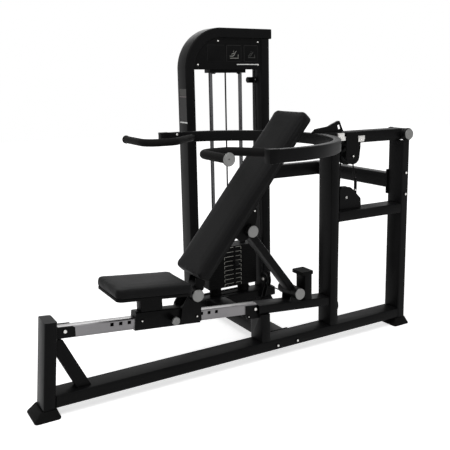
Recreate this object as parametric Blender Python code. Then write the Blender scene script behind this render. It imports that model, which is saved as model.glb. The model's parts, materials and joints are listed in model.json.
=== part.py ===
"""Chest and shoulder press machine with a weight stack, an adjustable seat carriage and a linked backrest."""

import math

import bmesh
import bpy
from mathutils import Matrix, Vector

# Seams and running clearances, metres.
GAP = 0.0003
RUN = 0.0001
SINK = 0.001

# Square and flat tube stock.
POST_THICK = 0.057
POST_WIDE = 0.120
RAIL_TALL = 0.060
TUBE_WALL = 0.003
TUBE_CORNER = 0.009
FOOT_TALL = 0.045

# Stations along the machine: X runs to the rear, Z up from the underside of the base rail.
FRONT_POST_X = 0.6845
FRONT_POST_TOP = 0.405
FRONT_LEAN = 0.085
CENTRE_POST_X = 1.8525
MIDDLE_POST_X = 2.3185
MIDDLE_POST_TOP = 1.050
REAR_POST_X = 2.8465
REAR_POST_TOP = 1.166
MID_TUBE_Z = 0.691
CROSS_TUBE_Z = 0.845
CROSS_TUBE_TALL = 0.090

# Seat rail and link rail, which share one sloping underside line.
RAIL_SLOPE = -0.0865
UNDER_AT_1125 = 0.2805
SEAT_RAIL_START = 0.752
SEAT_RAIL_END = 1.8140
SEAT_RAIL_WIDE = 0.050
SEAT_RAIL_DEEP = 0.057
LINK_RAIL_WIDE = 0.100
LINK_RAIL_DEEP = 0.050
HOLE_FIRST_X = 1.008
HOLE_PITCH = 0.0431
HOLE_COUNT = 14
HOLE_R = 0.008

# Linkage pivots and barrels.
SEAT_PIVOT = (1.435, 0.409)
BACK_PIVOT = (1.759, 0.693)
BASE_PIVOT = (2.057, 0.302)
BARREL_R = 0.033
HUB_WIDE = 0.080
BARREL_WIDE = 0.164
CAP_THICK = 0.008
SHAFT_R = 0.010
BACK_ANGLE = math.radians(50.8)

# Press arm.
ARM_PIVOT = (2.845, 1.134)
ARM_TOP = 1.168
ARM_TALL = 0.060
YOKE_R = 0.575
YOKE_THICK = 0.040
YOKE_CENTRE_X = 1.660
YOKE_FRONT_X = 1.547
BEAM_WIDE = 0.080
BEAM_TALL = 0.068
GRIP_Z = 1.142
GRIP_X = 1.345
GRIP_HALF = 0.600
GRIP_R = 0.020
HANDLE_R = 0.016

# Weight tower.
TOWER_Y = 0.800
TOWER_LEFT_X = 1.841
TOWER_RIGHT_X = 2.377
TOWER_THICK = 0.061
TOWER_TOP = 1.770
TOWER_BEND_R = 0.250
TOWER_BASE_START = 1.790
TOWER_BASE_END = 2.440
STACK_X = 2.114
STACK_HALF = 0.180
ROD_SPREAD = 0.106
ROD_R = 0.012
ROD_TOP = 1.500
STACK_BOTTOM = 0.121
PLATE_PITCH = 0.0301
PLATES_FIXED = 5
PLATES_LIFTED = 3
PANEL_LOW = 1.519

# Cable and pulleys.
CABLE_R = 0.004
PULLEY_R = 0.0445
GUIDE_PULLEY = (2.430, 0.791)
ARM_PULLEY = (2.442, 1.031)
FLOOR_PULLEY_X = 2.385
TOWER_PULLEY_X = 2.333
TOP_PULLEY_Z = 1.610

# Cushions.
SEAT_REAR = (1.388, 0.494)
SEAT_FRONT = (1.001, 0.532)
SEAT_HALF = 0.146
PAD_BOTTOM = (1.414, 0.523)
PAD_LONG = 1.005
PAD_HALF = 0.142
PAD_DEEP = 0.050
BOARD_DEEP = 0.0135
SEAT_DEEP = 0.042
CROWN = 0.006

ROUND = 24
PI = math.pi
Y_AXIS = Vector((0.0, 1.0, 0.0))
X_AXIS = Vector((1.0, 0.0, 0.0))
Z_AXIS = Vector((0.0, 0.0, 1.0))

FINISHES = {
    "black_paint": ((0.012, 0.012, 0.013), 0.34, 0.0),
    "satin_silver": ((0.42, 0.42, 0.41), 0.38, 1.0),
    "zinc_bolt": ((0.62, 0.61, 0.58), 0.30, 1.0),
    "chrome_rod": ((0.50, 0.50, 0.52), 0.12, 1.0),
    "plate_steel": ((0.10, 0.10, 0.105), 0.42, 0.6),
    "label_white": ((0.72, 0.72, 0.70), 0.55, 0.0),
    "black_rubber": ((0.016, 0.016, 0.016), 0.78, 0.0),
    "grip_foam": ((0.030, 0.027, 0.026), 0.86, 0.0),
    "black_plastic": ((0.014, 0.014, 0.015), 0.50, 0.0),
    "black_vinyl": ((0.022, 0.022, 0.022), 0.46, 0.0),
    "board_black": ((0.010, 0.010, 0.010), 0.62, 0.0),
    "cable_black": ((0.015, 0.015, 0.015), 0.40, 0.0),
}


def under(x):
    """Height of the sloping rail underside at x."""
    return UNDER_AT_1125 + RAIL_SLOPE * (x - 1.125)


def basis(origin, x_axis, y_axis):
    """Matrix whose local X and Y follow two world directions."""
    x = Vector(x_axis).normalized()
    z = x.cross(Vector(y_axis)).normalized()
    y = z.cross(x)
    turn = Matrix((x, y, z)).transposed().to_4x4()
    return Matrix.Translation(Vector(origin)) @ turn


def rounded(points, radius, steps=4, closed=True):
    """Polygon or path with its corners rounded."""
    pts = [Vector(p).to_3d() for p in points]
    count = len(pts)
    radii = radius if isinstance(radius, (list, tuple)) else [radius] * count
    out = []
    for i, p in enumerate(pts):
        r = radii[i]
        if r <= 0 or (not closed and i in (0, count - 1)):
            out.append(p.copy())
            continue
        a = (pts[i - 1] - p).normalized()
        b = (pts[(i + 1) % count] - p).normalized()
        half = a.angle(b) / 2
        if half > 1.55:
            continue
        centre = p + (a + b).normalized() * (r / math.sin(half))
        v0 = p + a * (r / math.tan(half)) - centre
        v1 = p + b * (r / math.tan(half)) - centre
        phi = v0.angle(v1)
        for k in range(steps + 1):
            f = k / steps
            out.append(centre + (v0 * math.sin((1 - f) * phi) + v1 * math.sin(f * phi)) / math.sin(phi))
    return out


def rect(wide, tall, corner, steps=2):
    """Rounded rectangle about the origin."""
    w, t = wide / 2, tall / 2
    points = ((-w, -t), (w, -t), (w, t), (-w, t))
    return rounded(points, corner, steps) if corner > 0 else [Vector(p).to_3d() for p in points]


def circle(radius, x=0.0, y=0.0, count=ROUND):
    """Circle as a loop of points."""
    return [
        Vector((x + radius * math.cos(2 * PI * k / count), y + radius * math.sin(2 * PI * k / count), 0))
        for k in range(count)
    ]


def mesh_of(curve):
    """Closed bmesh from a filled curve."""
    holder = bpy.data.objects.new("outline", curve)
    bpy.context.scene.collection.objects.link(holder)
    graph = bpy.context.evaluated_depsgraph_get()
    mesh = bpy.data.meshes.new_from_object(holder.evaluated_get(graph))
    bm = bmesh.new()
    bm.from_mesh(mesh)
    bmesh.ops.remove_doubles(bm, verts=bm.verts, dist=1e-6)
    bmesh.ops.recalc_face_normals(bm, faces=bm.faces)
    bpy.data.objects.remove(holder)
    bpy.data.curves.remove(curve)
    bpy.data.meshes.remove(mesh)
    return bm


def slab(loops, thickness, place=None):
    """Flat outline with holes, extruded to a thickness about its own plane."""
    curve = bpy.data.curves.new("outline", "CURVE")
    curve.dimensions = "2D"
    curve.fill_mode = "BOTH"
    curve.extrude = thickness / 2
    for loop in loops:
        spline = curve.splines.new("POLY")
        spline.points.add(len(loop) - 1)
        for point, p in zip(spline.points, loop):
            point.co = (p[0], p[1], 0, 1)
        spline.use_cyclic_u = True
    bm = mesh_of(curve)
    if place is not None:
        bm.transform(place)
    return bm


def side_slab(loops, thickness, y):
    """Outline given in X and Z, extruded across the machine about the plane at y."""
    return slab(loops, thickness, basis((0, y, 0), X_AXIS, Z_AXIS))


def tube(start, end, across, wide, tall, corner=TUBE_CORNER, wall=TUBE_WALL):
    """Straight rectangular tube, open at both ends, or a bar when wall is 0."""
    start, end = Vector(start), Vector(end)
    z = (end - start).normalized()
    x = Vector(across).normalized()
    loops = [rect(wide, tall, corner)]
    if wall:
        loops.append(rect(wide - 2 * wall, tall - 2 * wall, max(corner - wall, 0.001), 1))
    bm = slab(loops, (end - start).length)
    y = z.cross(x)
    turn = Matrix((x, y, z)).transposed().to_4x4()
    bm.transform(Matrix.Translation((start + end) / 2) @ turn)
    return bm


def slant(bm, test, shift):
    """Moves the vertices that pass the test, to mitre an end."""
    for v in bm.verts:
        if test(v.co):
            v.co += shift(v.co)
    return bm


def box(low, high, bevel=0.0):
    """Box between two corners, with its edges eased."""
    low, high = Vector(low), Vector(high)
    bm = bmesh.new()
    bmesh.ops.create_cube(bm, size=1.0)
    bmesh.ops.scale(bm, vec=high - low, verts=bm.verts)
    bmesh.ops.translate(bm, vec=(low + high) / 2, verts=bm.verts)
    if bevel:
        bmesh.ops.bevel(
            bm, geom=list(bm.edges), offset=bevel, segments=1, profile=0.5, affect="EDGES", material=-1
        )
    return bm


def lathe(profile, centre, axis, closed=False, count=ROUND):
    """Turned solid: profile pairs are radius and height along the axis."""
    bm = bmesh.new()
    verts = [bm.verts.new((r, 0, z)) for r, z in profile]
    pairs = list(zip(verts, verts[1:])) + ([(verts[-1], verts[0])] if closed else [])
    edges = [bm.edges.new(pair) for pair in pairs]
    bmesh.ops.spin(
        bm, geom=verts + edges, cent=(0, 0, 0), axis=(0, 0, 1), angle=2 * PI, steps=count, use_merge=True
    )
    bmesh.ops.remove_doubles(bm, verts=bm.verts, dist=1e-6)
    bmesh.ops.recalc_face_normals(bm, faces=bm.faces)
    z = Vector(axis).normalized()
    x = Y_AXIS if abs(z.x) > 0.5 else X_AXIS
    bm.transform(basis(centre, x, z.cross(x)))
    return bm


def ring(inner, outer, low, high, centre, axis, ease=0.0015, count=ROUND):
    """Turned ring with eased outer corners."""
    profile = [
        (inner, low), (outer - ease, low), (outer, low + ease), (outer, high - ease),
        (outer - ease, high), (inner, high),
    ]
    return lathe(profile, centre, axis, True, count)


def disc(radius, low, high, centre, axis, ease=0.001, count=ROUND):
    """Turned solid disc or rod, with eased corners unless ease is 0."""
    if ease == 0:
        return lathe([(0, low), (radius, low), (radius, high), (0, high)], centre, axis, False, count)
    profile = [(0, low), (radius - ease, low), (radius, low + ease), (radius, high - ease),
               (radius - ease, high), (0, high)]
    return lathe(profile, centre, axis, False, count)


def sweep(path, radius, sides=2):
    """Round bar along a path of points."""
    curve = bpy.data.curves.new("path", "CURVE")
    curve.dimensions = "3D"
    curve.bevel_depth = radius
    curve.bevel_resolution = sides
    curve.use_fill_caps = True
    spline = curve.splines.new("POLY")
    spline.points.add(len(path) - 1)
    for point, p in zip(spline.points, path):
        point.co = (*p, 1)
    return mesh_of(curve)


def cut(bm, *cutters, operation="DIFFERENCE"):
    """Solid after one exact Boolean with all its cutters."""
    scratch = []
    group = bpy.data.collections.new("cutters")
    for solid in (bm, *cutters):
        mesh = bpy.data.meshes.new("solid")
        solid.to_mesh(mesh)
        solid.free()
        holder = bpy.data.objects.new("solid", mesh)
        holder.hide_render = True
        (group.objects if scratch else bpy.context.scene.collection.objects).link(holder)
        scratch.append(holder)
    body = scratch[0]
    modifier = body.modifiers.new("cut", "BOOLEAN")
    modifier.operation = operation
    modifier.solver = "EXACT"
    modifier.operand_type = "COLLECTION"
    modifier.collection = group
    graph = bpy.context.evaluated_depsgraph_get()
    mesh = bpy.data.meshes.new_from_object(body.evaluated_get(graph))
    out = bmesh.new()
    out.from_mesh(mesh)
    bmesh.ops.remove_doubles(out, verts=out.verts, dist=1e-6)
    bpy.data.meshes.remove(mesh)
    for holder in scratch:
        data = holder.data
        bpy.data.objects.remove(holder)
        bpy.data.meshes.remove(data)
    bpy.data.collections.remove(group)
    return out


def moved(bm, x=0.0, y=0.0, z=0.0):
    """Copy of a solid, shifted."""
    out = bm.copy()
    bmesh.ops.translate(out, vec=(x, y, z), verts=out.verts)
    return out


def mirrored(bm, y=0.0):
    """Copy of a solid, mirrored across the plane at y."""
    out = bm.copy()
    for v in out.verts:
        v.co.y = 2 * y - v.co.y
    bmesh.ops.reverse_faces(out, faces=out.faces)
    return out


def both(bm, y=0.0):
    """A solid and its mirror image."""
    return [bm, mirrored(bm, y)]


def bolt(centre, axis, radius=0.009, tall=0.006):
    """Domed socket-head bolt standing on a face."""
    profile = [(0, -SINK), (radius, -SINK), (radius, tall * 0.6), (radius * 0.7, tall), (0, tall)]
    return lathe(profile, centre, axis, False, 8)


def loft(rings):
    """Closed solid through a stack of equal point loops."""
    bm = bmesh.new()
    loops = []
    for points in rings:
        verts = [bm.verts.new(p) for p in points]
        loops.append([bm.edges.new((verts[k], verts[(k + 1) % len(verts)])) for k in range(len(verts))])
    for a, b in zip(loops, loops[1:]):
        bmesh.ops.bridge_loops(bm, edges=a + b)
    bmesh.ops.contextual_create(bm, geom=loops[0])
    bmesh.ops.contextual_create(bm, geom=loops[-1])
    bmesh.ops.recalc_face_normals(bm, faces=bm.faces)
    return bm


def cushion(length, half, corner, deep, crown, place, steps=6):
    """Upholstered pad: drawn-in sides, rolled edge and a crowned face along local Z."""
    levels = [(0.003, 0.0), (0.0, deep * 0.15), (-0.001, deep * 0.5), (0.0005, deep * 0.80),
              (0.0035, deep * 0.95), (0.009, deep), (0.040, deep + crown * 0.7), (0.080, deep + crown)]
    rings = []
    for inset, z in levels:
        w, t = 2 * half - 2 * inset, length - 2 * inset
        loop = rect(w, t, max(corner - inset, 0.012), steps)
        rings.append([Vector((p.x, p.y + length / 2, z)) for p in loop])
    bm = loft(rings)
    bm.transform(place)
    return bm


class Machine:
    """Builds and files the named nodes of the machine."""

    def __init__(self):
        for old in list(bpy.data.objects):
            bpy.data.objects.remove(old)
        self.group = bpy.data.collections.new("press_machine")
        bpy.context.scene.collection.children.link(self.group)
        self.finishes = {}
        self.nodes = {}
        front = FRONT_POST_X - FRONT_LEAN * FOOT_TALL - POST_THICK / 2 - 0.041
        rear = REAR_POST_X + POST_THICK / 2 + 0.022
        near = -(GRIP_HALF + 0.006)
        far = TOWER_Y + POST_WIDE / 2 + 0.022
        self.shift = Vector((-(front + rear) / 2, -(near + far) / 2, FOOT_TALL))

    def finish(self, key):
        """Principled material for a finish name."""
        if key not in self.finishes:
            colour, rough, metal = FINISHES[key]
            material = bpy.data.materials.new(key)
            material.use_nodes = True
            shader = material.node_tree.nodes["Principled BSDF"]
            shader.inputs["Base Color"].default_value = (*colour, 1)
            shader.inputs["Roughness"].default_value = rough
            shader.inputs["Metallic"].default_value = metal
            material.diffuse_color = (*colour, 1)
            self.finishes[key] = material
        return self.finishes[key]

    def add(self, name, key, solids, pivot=None):
        """Files solids under a node name; the first call sets its finish and pivot."""
        entry = self.nodes.setdefault(name, [key, [], [], pivot])
        entry[1].extend(solids)

    def drill(self, name, *cutters):
        """Files cutters that open a node after its solids are joined."""
        self.nodes[name][2].extend(cutters)

    def build(self):
        """Joins the solids of each node into one named object with its origin at the pivot."""
        for name, (key, solids, cutters, pivot) in self.nodes.items():
            body = solids[0]
            if len(solids) > 1:
                body = cut(body, *solids[1:], operation="UNION")
            if cutters:
                body = cut(body, *cutters)
            origin = Vector(pivot) if pivot is not None else Vector((0, 0, 0))
            bmesh.ops.translate(body, vec=-origin, verts=body.verts)
            mesh = bpy.data.meshes.new(name)
            body.to_mesh(mesh)
            body.free()
            for face in mesh.polygons:
                face.use_smooth = True
            mesh.set_sharp_from_angle(angle=math.radians(32))
            item = bpy.data.objects.new(name, mesh)
            item.location = origin + self.shift
            item.data.materials.append(self.finish(key))
            self.group.objects.link(item)


def boot(x, lean):
    """Flared rubber boot round the foot of a post."""
    half_x, half_y = POST_THICK / 2, POST_WIDE / 2
    rings = []
    for z, front, back, side in (
        (-FOOT_TALL, 0.041, 0.022, 0.022), (-FOOT_TALL + 0.008, 0.041, 0.022, 0.022),
        (-0.018, 0.024, 0.013, 0.013), (-0.001, 0.010, 0.006, 0.006),
    ):
        shift = x + lean * z
        low, high = shift - half_x - front, shift + half_x + back
        points = ((low, -half_y - side), (high, -half_y - side), (high, half_y + side), (low, half_y + side))
        rings.append([Vector((p.x, p.y, z)) for p in rounded(points, 0.016, 4)])
    solid = loft(rings)
    pocket = tube(
        (x - lean * 0.025, 0, -0.025), (x + lean * 0.05, 0, 0.05), Y_AXIS,
        POST_WIDE + 2 * GAP, POST_THICK + 2 * GAP + 0.001, TUBE_CORNER, 0,
    )
    return cut(solid, pocket)


def near_frame(m):
    """Base rail, posts, brace, seat rail and link rail on the centre plane."""
    wide, thick = POST_WIDE, POST_THICK
    front_face = FRONT_POST_X + thick / 2 + 0.0012
    rail_start = front_face + FRONT_LEAN * RAIL_TALL + GAP
    rail_end = REAR_POST_X - thick / 2 - GAP
    rail = tube((rail_start, 0, RAIL_TALL / 2), (rail_end, 0, RAIL_TALL / 2), Y_AXIS, wide, RAIL_TALL)
    slant(rail, lambda p: p.x < rail_start + 1e-4, lambda p: Vector((FRONT_LEAN * (p.z - RAIL_TALL), 0, 0)))
    m.add("base_rail", "black_paint", [rail])
    for x in (1.925, 2.056):
        m.add("base_rail", "black_paint", [bolt((x, -wide / 2, 0.026), -Y_AXIS, 0.010, 0.007)])

    lean = Vector((FRONT_LEAN, 0, 1)).normalized()
    foot = Vector((FRONT_POST_X - FRONT_LEAN * 0.022, 0, -0.022))
    top = foot + lean * ((FRONT_POST_TOP + 0.022) / lean.z)
    m.add("front_post", "black_paint", [tube(foot, top, Y_AXIS, wide, thick)])
    turn = Matrix((Y_AXIS, lean.cross(Y_AXIS), lean)).transposed().to_4x4()
    lid = slab([rect(wide, thick, TUBE_CORNER)], 0.004 + SINK)
    lid.transform(Matrix.Translation(top + lean * (0.002 - SINK / 2)) @ turn)
    half = SEAT_RAIL_WIDE / 2
    wall_x = front_face + FRONT_LEAN * under(0.75) - 0.001
    plate = [(wall_x, under(wall_x) + 0.006), (0.832, under(0.832) + 0.006), (0.832, under(0.832) + 0.050),
             (0.822, under(0.822) + 0.058), (wall_x + 0.004, under(wall_x) + 0.058)]
    cheeks = both(side_slab([rounded(plate, [0, 0.004, 0.004, 0.004, 0], 2)], 0.006, -(half + GAP + 0.003)))
    rail_y = -(half + GAP + 0.006)
    heads = both(bolt((0.784, rail_y, 0.348), -Y_AXIS, 0.0095, 0.007))
    m.add("front_post", "black_paint", [lid, *cheeks, *heads])

    low_x, high_x = 0.824, 0.891
    ground = RAIL_TALL + GAP
    rise = math.tan(math.radians(64.4))
    post_face = lambda z: FRONT_POST_X + thick / 2 + 0.0012 + FRONT_LEAN * z + GAP
    z_left = ground + (low_x - post_face(0.24)) * rise
    x_right = high_x - (under(0.79) - GAP - ground) / rise
    x_post = post_face(under(0.75) - GAP)
    outline = [
        (low_x, ground), (high_x, ground), (x_right, under(x_right) - GAP), (x_post, under(x_post) - GAP),
        (post_face(z_left), z_left),
    ]
    inner = [(low_x + 0.003, ground - 0.02), (high_x - 0.003, ground - 0.02),
             (x_right - 0.003, under(x_right) + 0.01), (x_right - 0.018, under(x_right) + 0.01),
             (low_x + 0.003 - (z_left - ground) / rise * 0.8, ground + (z_left - ground) * 0.8)]
    brace = cut(
        side_slab([[Vector(p) for p in outline]], 0.060, 0), side_slab([[Vector(p) for p in inner]], 0.054, 0)
    )
    m.add("front_brace", "black_paint", [brace])

    top_z = under(CENTRE_POST_X) - GAP
    post = tube((CENTRE_POST_X, 0, ground), (CENTRE_POST_X, 0, top_z), Y_AXIS, wide, thick)
    slant(
        post, lambda p: p.z > top_z - 1e-4, lambda p: Vector((0, 0, RAIL_SLOPE * (p.x - CENTRE_POST_X)))
    )
    m.add("centre_post", "black_paint", [post])
    left, edge, right = 1.744, SEAT_RAIL_END + 0.001, CENTRE_POST_X - thick / 2 + 0.002
    plate = [(left, 0.276), (edge, 0.2695), (edge, 0.2180), (right, 0.2160), (right, 0.1960),
             (left + 0.008, 0.2030), (left, 0.2160)]
    cheeks = both(side_slab([rounded(plate, [0.004, 0.004, 0, 0, 0, 0.004, 0.004], 2)], 0.006, -(half + GAP + 0.003)))
    heads = both(bolt((1.800, rail_y, 0.252), -Y_AXIS, 0.0095, 0.007))
    heads += both(bolt((1.758, rail_y, 0.2165), -Y_AXIS, 0.0060, 0.005))
    m.add("centre_post", "black_paint", [*cheeks, *heads])
    m.add(
        "middle_post", "black_paint",
        [tube((MIDDLE_POST_X, 0, ground), (MIDDLE_POST_X, 0, MIDDLE_POST_TOP), Y_AXIS, wide, thick)],
    )
    rear = tube((REAR_POST_X, 0, -0.022), (REAR_POST_X, 0, REAR_POST_TOP), Y_AXIS, wide, thick)
    slot = box((REAR_POST_X - 0.05, -0.0562, 1.075), (REAR_POST_X + 0.05, 0.0562, 1.20))
    bore = disc(SHAFT_R + RUN, -0.1, 0.1, (ARM_PIVOT[0], 0, ARM_PIVOT[1]), Y_AXIS, 0.0001)
    m.add("rear_post", "black_paint", [cut(rear, slot)])
    rings = []
    for side in (-1, 1):
        low, high = sorted(((wide / 2 - SINK) * side, 0.078 * side))
        rings.append(disc(0.036, low, high, (ARM_PIVOT[0], 0, ARM_PIVOT[1]), Y_AXIS, 0.0015))
    heads = [bolt((2.850, -wide / 2, z), -Y_AXIS, 0.010, 0.007) for z in (0.904, 0.775)]
    m.add("rear_post", "black_paint", [*rings, *heads])
    m.drill("rear_post", bore)
    mid = tube(
        (MIDDLE_POST_X + thick / 2 + GAP, 0, MID_TUBE_Z), (REAR_POST_X - thick / 2 - GAP, 0, MID_TUBE_Z),
        Y_AXIS, wide, thick,
    )
    well = disc(0.012, -0.1, 0.1, (FLOOR_PULLEY_X, 0, MID_TUBE_Z), Z_AXIS, 0.001, 16)
    m.add("rear_mid_tube", "black_paint", [cut(mid, well)])

    run = Vector((1, 0, RAIL_SLOPE)).normalized()
    up = Vector((-RAIL_SLOPE, 0, 1)).normalized()
    start = Vector((SEAT_RAIL_START, 0, under(SEAT_RAIL_START))) + up * SEAT_RAIL_DEEP / 2
    end = Vector((SEAT_RAIL_END, 0, under(SEAT_RAIL_END))) + up * SEAT_RAIL_DEEP / 2
    rail = tube(start, end, Y_AXIS, SEAT_RAIL_WIDE, SEAT_RAIL_DEEP, 0.006)
    slant(rail, lambda p: p.x > SEAT_RAIL_END - 0.01,
          lambda p: Vector((SEAT_RAIL_END - p.x, 0, RAIL_SLOPE * (SEAT_RAIL_END - p.x))))
    drills = []
    for k in range(HOLE_COUNT):
        x = HOLE_FIRST_X + k * HOLE_PITCH
        drills.append(disc(HOLE_R, -0.04, 0.04, (x, 0, under(x) + 0.0395), Y_AXIS, 0.0005, 8))
    m.add("seat_rail", "satin_silver", [cut(rail, *drills)])

    start = Vector((SEAT_RAIL_END + 0.0015, 0, 0))
    stop = MIDDLE_POST_X - thick / 2 - GAP
    a = Vector((start.x, 0, under(start.x))) + up * LINK_RAIL_DEEP / 2
    b = Vector((stop, 0, under(stop))) + up * LINK_RAIL_DEEP / 2
    rail = tube(a, b, Y_AXIS, LINK_RAIL_WIDE, LINK_RAIL_DEEP, 0.007)
    slant(rail, lambda p: p.x > stop - 0.01, lambda p: Vector((stop - p.x, 0, RAIL_SLOPE * (stop - p.x))))
    slant(rail, lambda p: p.x < a.x + 0.01, lambda p: Vector((start.x - p.x, 0, RAIL_SLOPE * (start.x - p.x))))
    m.add("link_rail", "black_paint", [rail])

    m.add("front_foot_boot", "black_rubber", [boot(FRONT_POST_X, FRONT_LEAN)])
    m.add("rear_foot_boot", "black_rubber", [boot(REAR_POST_X, 0.0)])


def near_details(m):
    """Bumpers, stop post and cross tubes of the near frame."""
    far = POST_WIDE / 2
    tower_near = TOWER_Y - POST_WIDE / 2
    tube_x, tube_half = 1.990, POST_WIDE / 2
    flange = 0.006
    floor = tube(
        (tube_x, far + flange - SINK, RAIL_TALL / 2), (tube_x, tower_near - flange + SINK, RAIL_TALL / 2),
        X_AXIS, 2 * tube_half, RAIL_TALL,
    )
    plates = []
    for y0 in (far + GAP, tower_near - flange - GAP):
        shape = rect(0.170, RAIL_TALL, 0.004, 2)
        plates.append(slab([shape, circle(0.012, 0, 0, 8)], flange, basis((tube_x, y0 + flange / 2, RAIL_TALL / 2), X_AXIS, Z_AXIS)))
    m.add("floor_cross_tube", "black_paint", [floor, *plates])

    flange = 0.008
    cross_end = TOWER_Y + 0.030
    cross = tube(
        (REAR_POST_X + 0.0035, far + flange - SINK, CROSS_TUBE_Z), (REAR_POST_X + 0.0035, cross_end, CROSS_TUBE_Z),
        X_AXIS, 0.060, CROSS_TUBE_TALL,
    )
    shape = rect(0.073, 0.150, 0.006, 2)
    pad = slab([shape], flange, basis((REAR_POST_X, far + GAP + flange / 2, 0.840), X_AXIS, Z_AXIS))
    m.add("rear_cross_tube", "black_paint", [cross, pad])

    col_face = TOWER_RIGHT_X + TOWER_THICK / 2
    far_tube = tube(
        (col_face + flange - SINK, TOWER_Y, CROSS_TUBE_Z), (REAR_POST_X + 0.0035 - 0.030 - GAP, TOWER_Y, CROSS_TUBE_Z),
        Y_AXIS, 0.060, CROSS_TUBE_TALL,
    )
    pad = slab([rect(0.100, 0.150, 0.006, 2)], flange,
               basis((col_face + GAP + flange / 2, TOWER_Y, 0.840), Y_AXIS, Z_AXIS))
    m.add("far_upper_tube", "black_paint", [far_tube, pad])

    x = 2.146
    seat = under(x) + LINK_RAIL_DEEP * math.sqrt(1 + RAIL_SLOPE**2) - 0.0015
    stop = tube((x, 0, seat), (x, 0, 0.3877), Y_AXIS, 0.088, 0.050, 0.007)
    slant(stop, lambda p: p.z < seat + 1e-4, lambda p: Vector((0, 0, RAIL_SLOPE * (p.x - x))))
    m.add("link_rail", "black_paint", [stop])
    pad = slab([rect(0.102, 0.080, 0.010, 3)], 0.020, basis((x - 0.010, 0, 0.3980), Y_AXIS, X_AXIS))
    m.add("stop_cap", "black_rubber", [pad])

    lid = slab([rect(POST_WIDE, POST_THICK, TUBE_CORNER)], 0.006,
               basis((MIDDLE_POST_X, 0, MIDDLE_POST_TOP + GAP + 0.003), Y_AXIS, X_AXIS))
    low = MIDDLE_POST_TOP + 0.006 - SINK
    pad = disc(0.024, low, ARM_TOP - BEAM_TALL - GAP, (MIDDLE_POST_X, 0, 0), Z_AXIS, 0.003)
    m.add("arm_rest_buffer", "black_rubber", [lid, pad])


def pivots(m):
    """Link base ears and housings, and the pins of the fixed pivots."""
    x, z = BASE_PIVOT
    hub = HUB_WIDE / 2
    foot = under(x) + LINK_RAIL_DEEP
    outline = [(x - 0.030, foot - 0.004), (x + 0.030, foot - 0.007), (x + 0.026, z), (x - 0.026, z)]
    ear = side_slab([rounded(outline, [0, 0, 0.008, 0.008], 3)], 0.0092, -(hub + GAP + 0.0046))
    near = disc(BARREL_R, hub + GAP, BARREL_WIDE / 2, (x, 0, z), -Y_AXIS, 0.0015)
    m.add("link_rail", "black_paint", both(ear) + both(near))
    m.drill("link_rail", disc(SHAFT_R + RUN, -0.1, 0.1, (x, 0, z), Y_AXIS, 0.0001))
    m.add("base_pivot_pin", "satin_silver", pivot_pin(BASE_PIVOT, BARREL_WIDE / 2))
    m.add("arm_pivot_pin", "satin_silver", pivot_pin(ARM_PIVOT, 0.078))


def pivot_pin(pivot, half, radius=0.031):
    """Shaft with a silver cap on each end."""
    x, z = pivot
    low, high = half + GAP, half + GAP + CAP_THICK
    profile = [(0, -high), (radius - 0.003, -high), (radius, -low), (SHAFT_R, -low),
               (SHAFT_R, low), (radius, low), (radius - 0.003, high), (0, high)]
    return [lathe(profile, (x, 0, z), Y_AXIS)]


def cap_pair(pivot, half, radius=0.031):
    """Silver caps on both ends of a barrel."""
    x, z = pivot
    near = disc(radius, half + GAP, half + GAP + CAP_THICK, (x, 0, z), -Y_AXIS, 0.002)
    return both(near)


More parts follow.
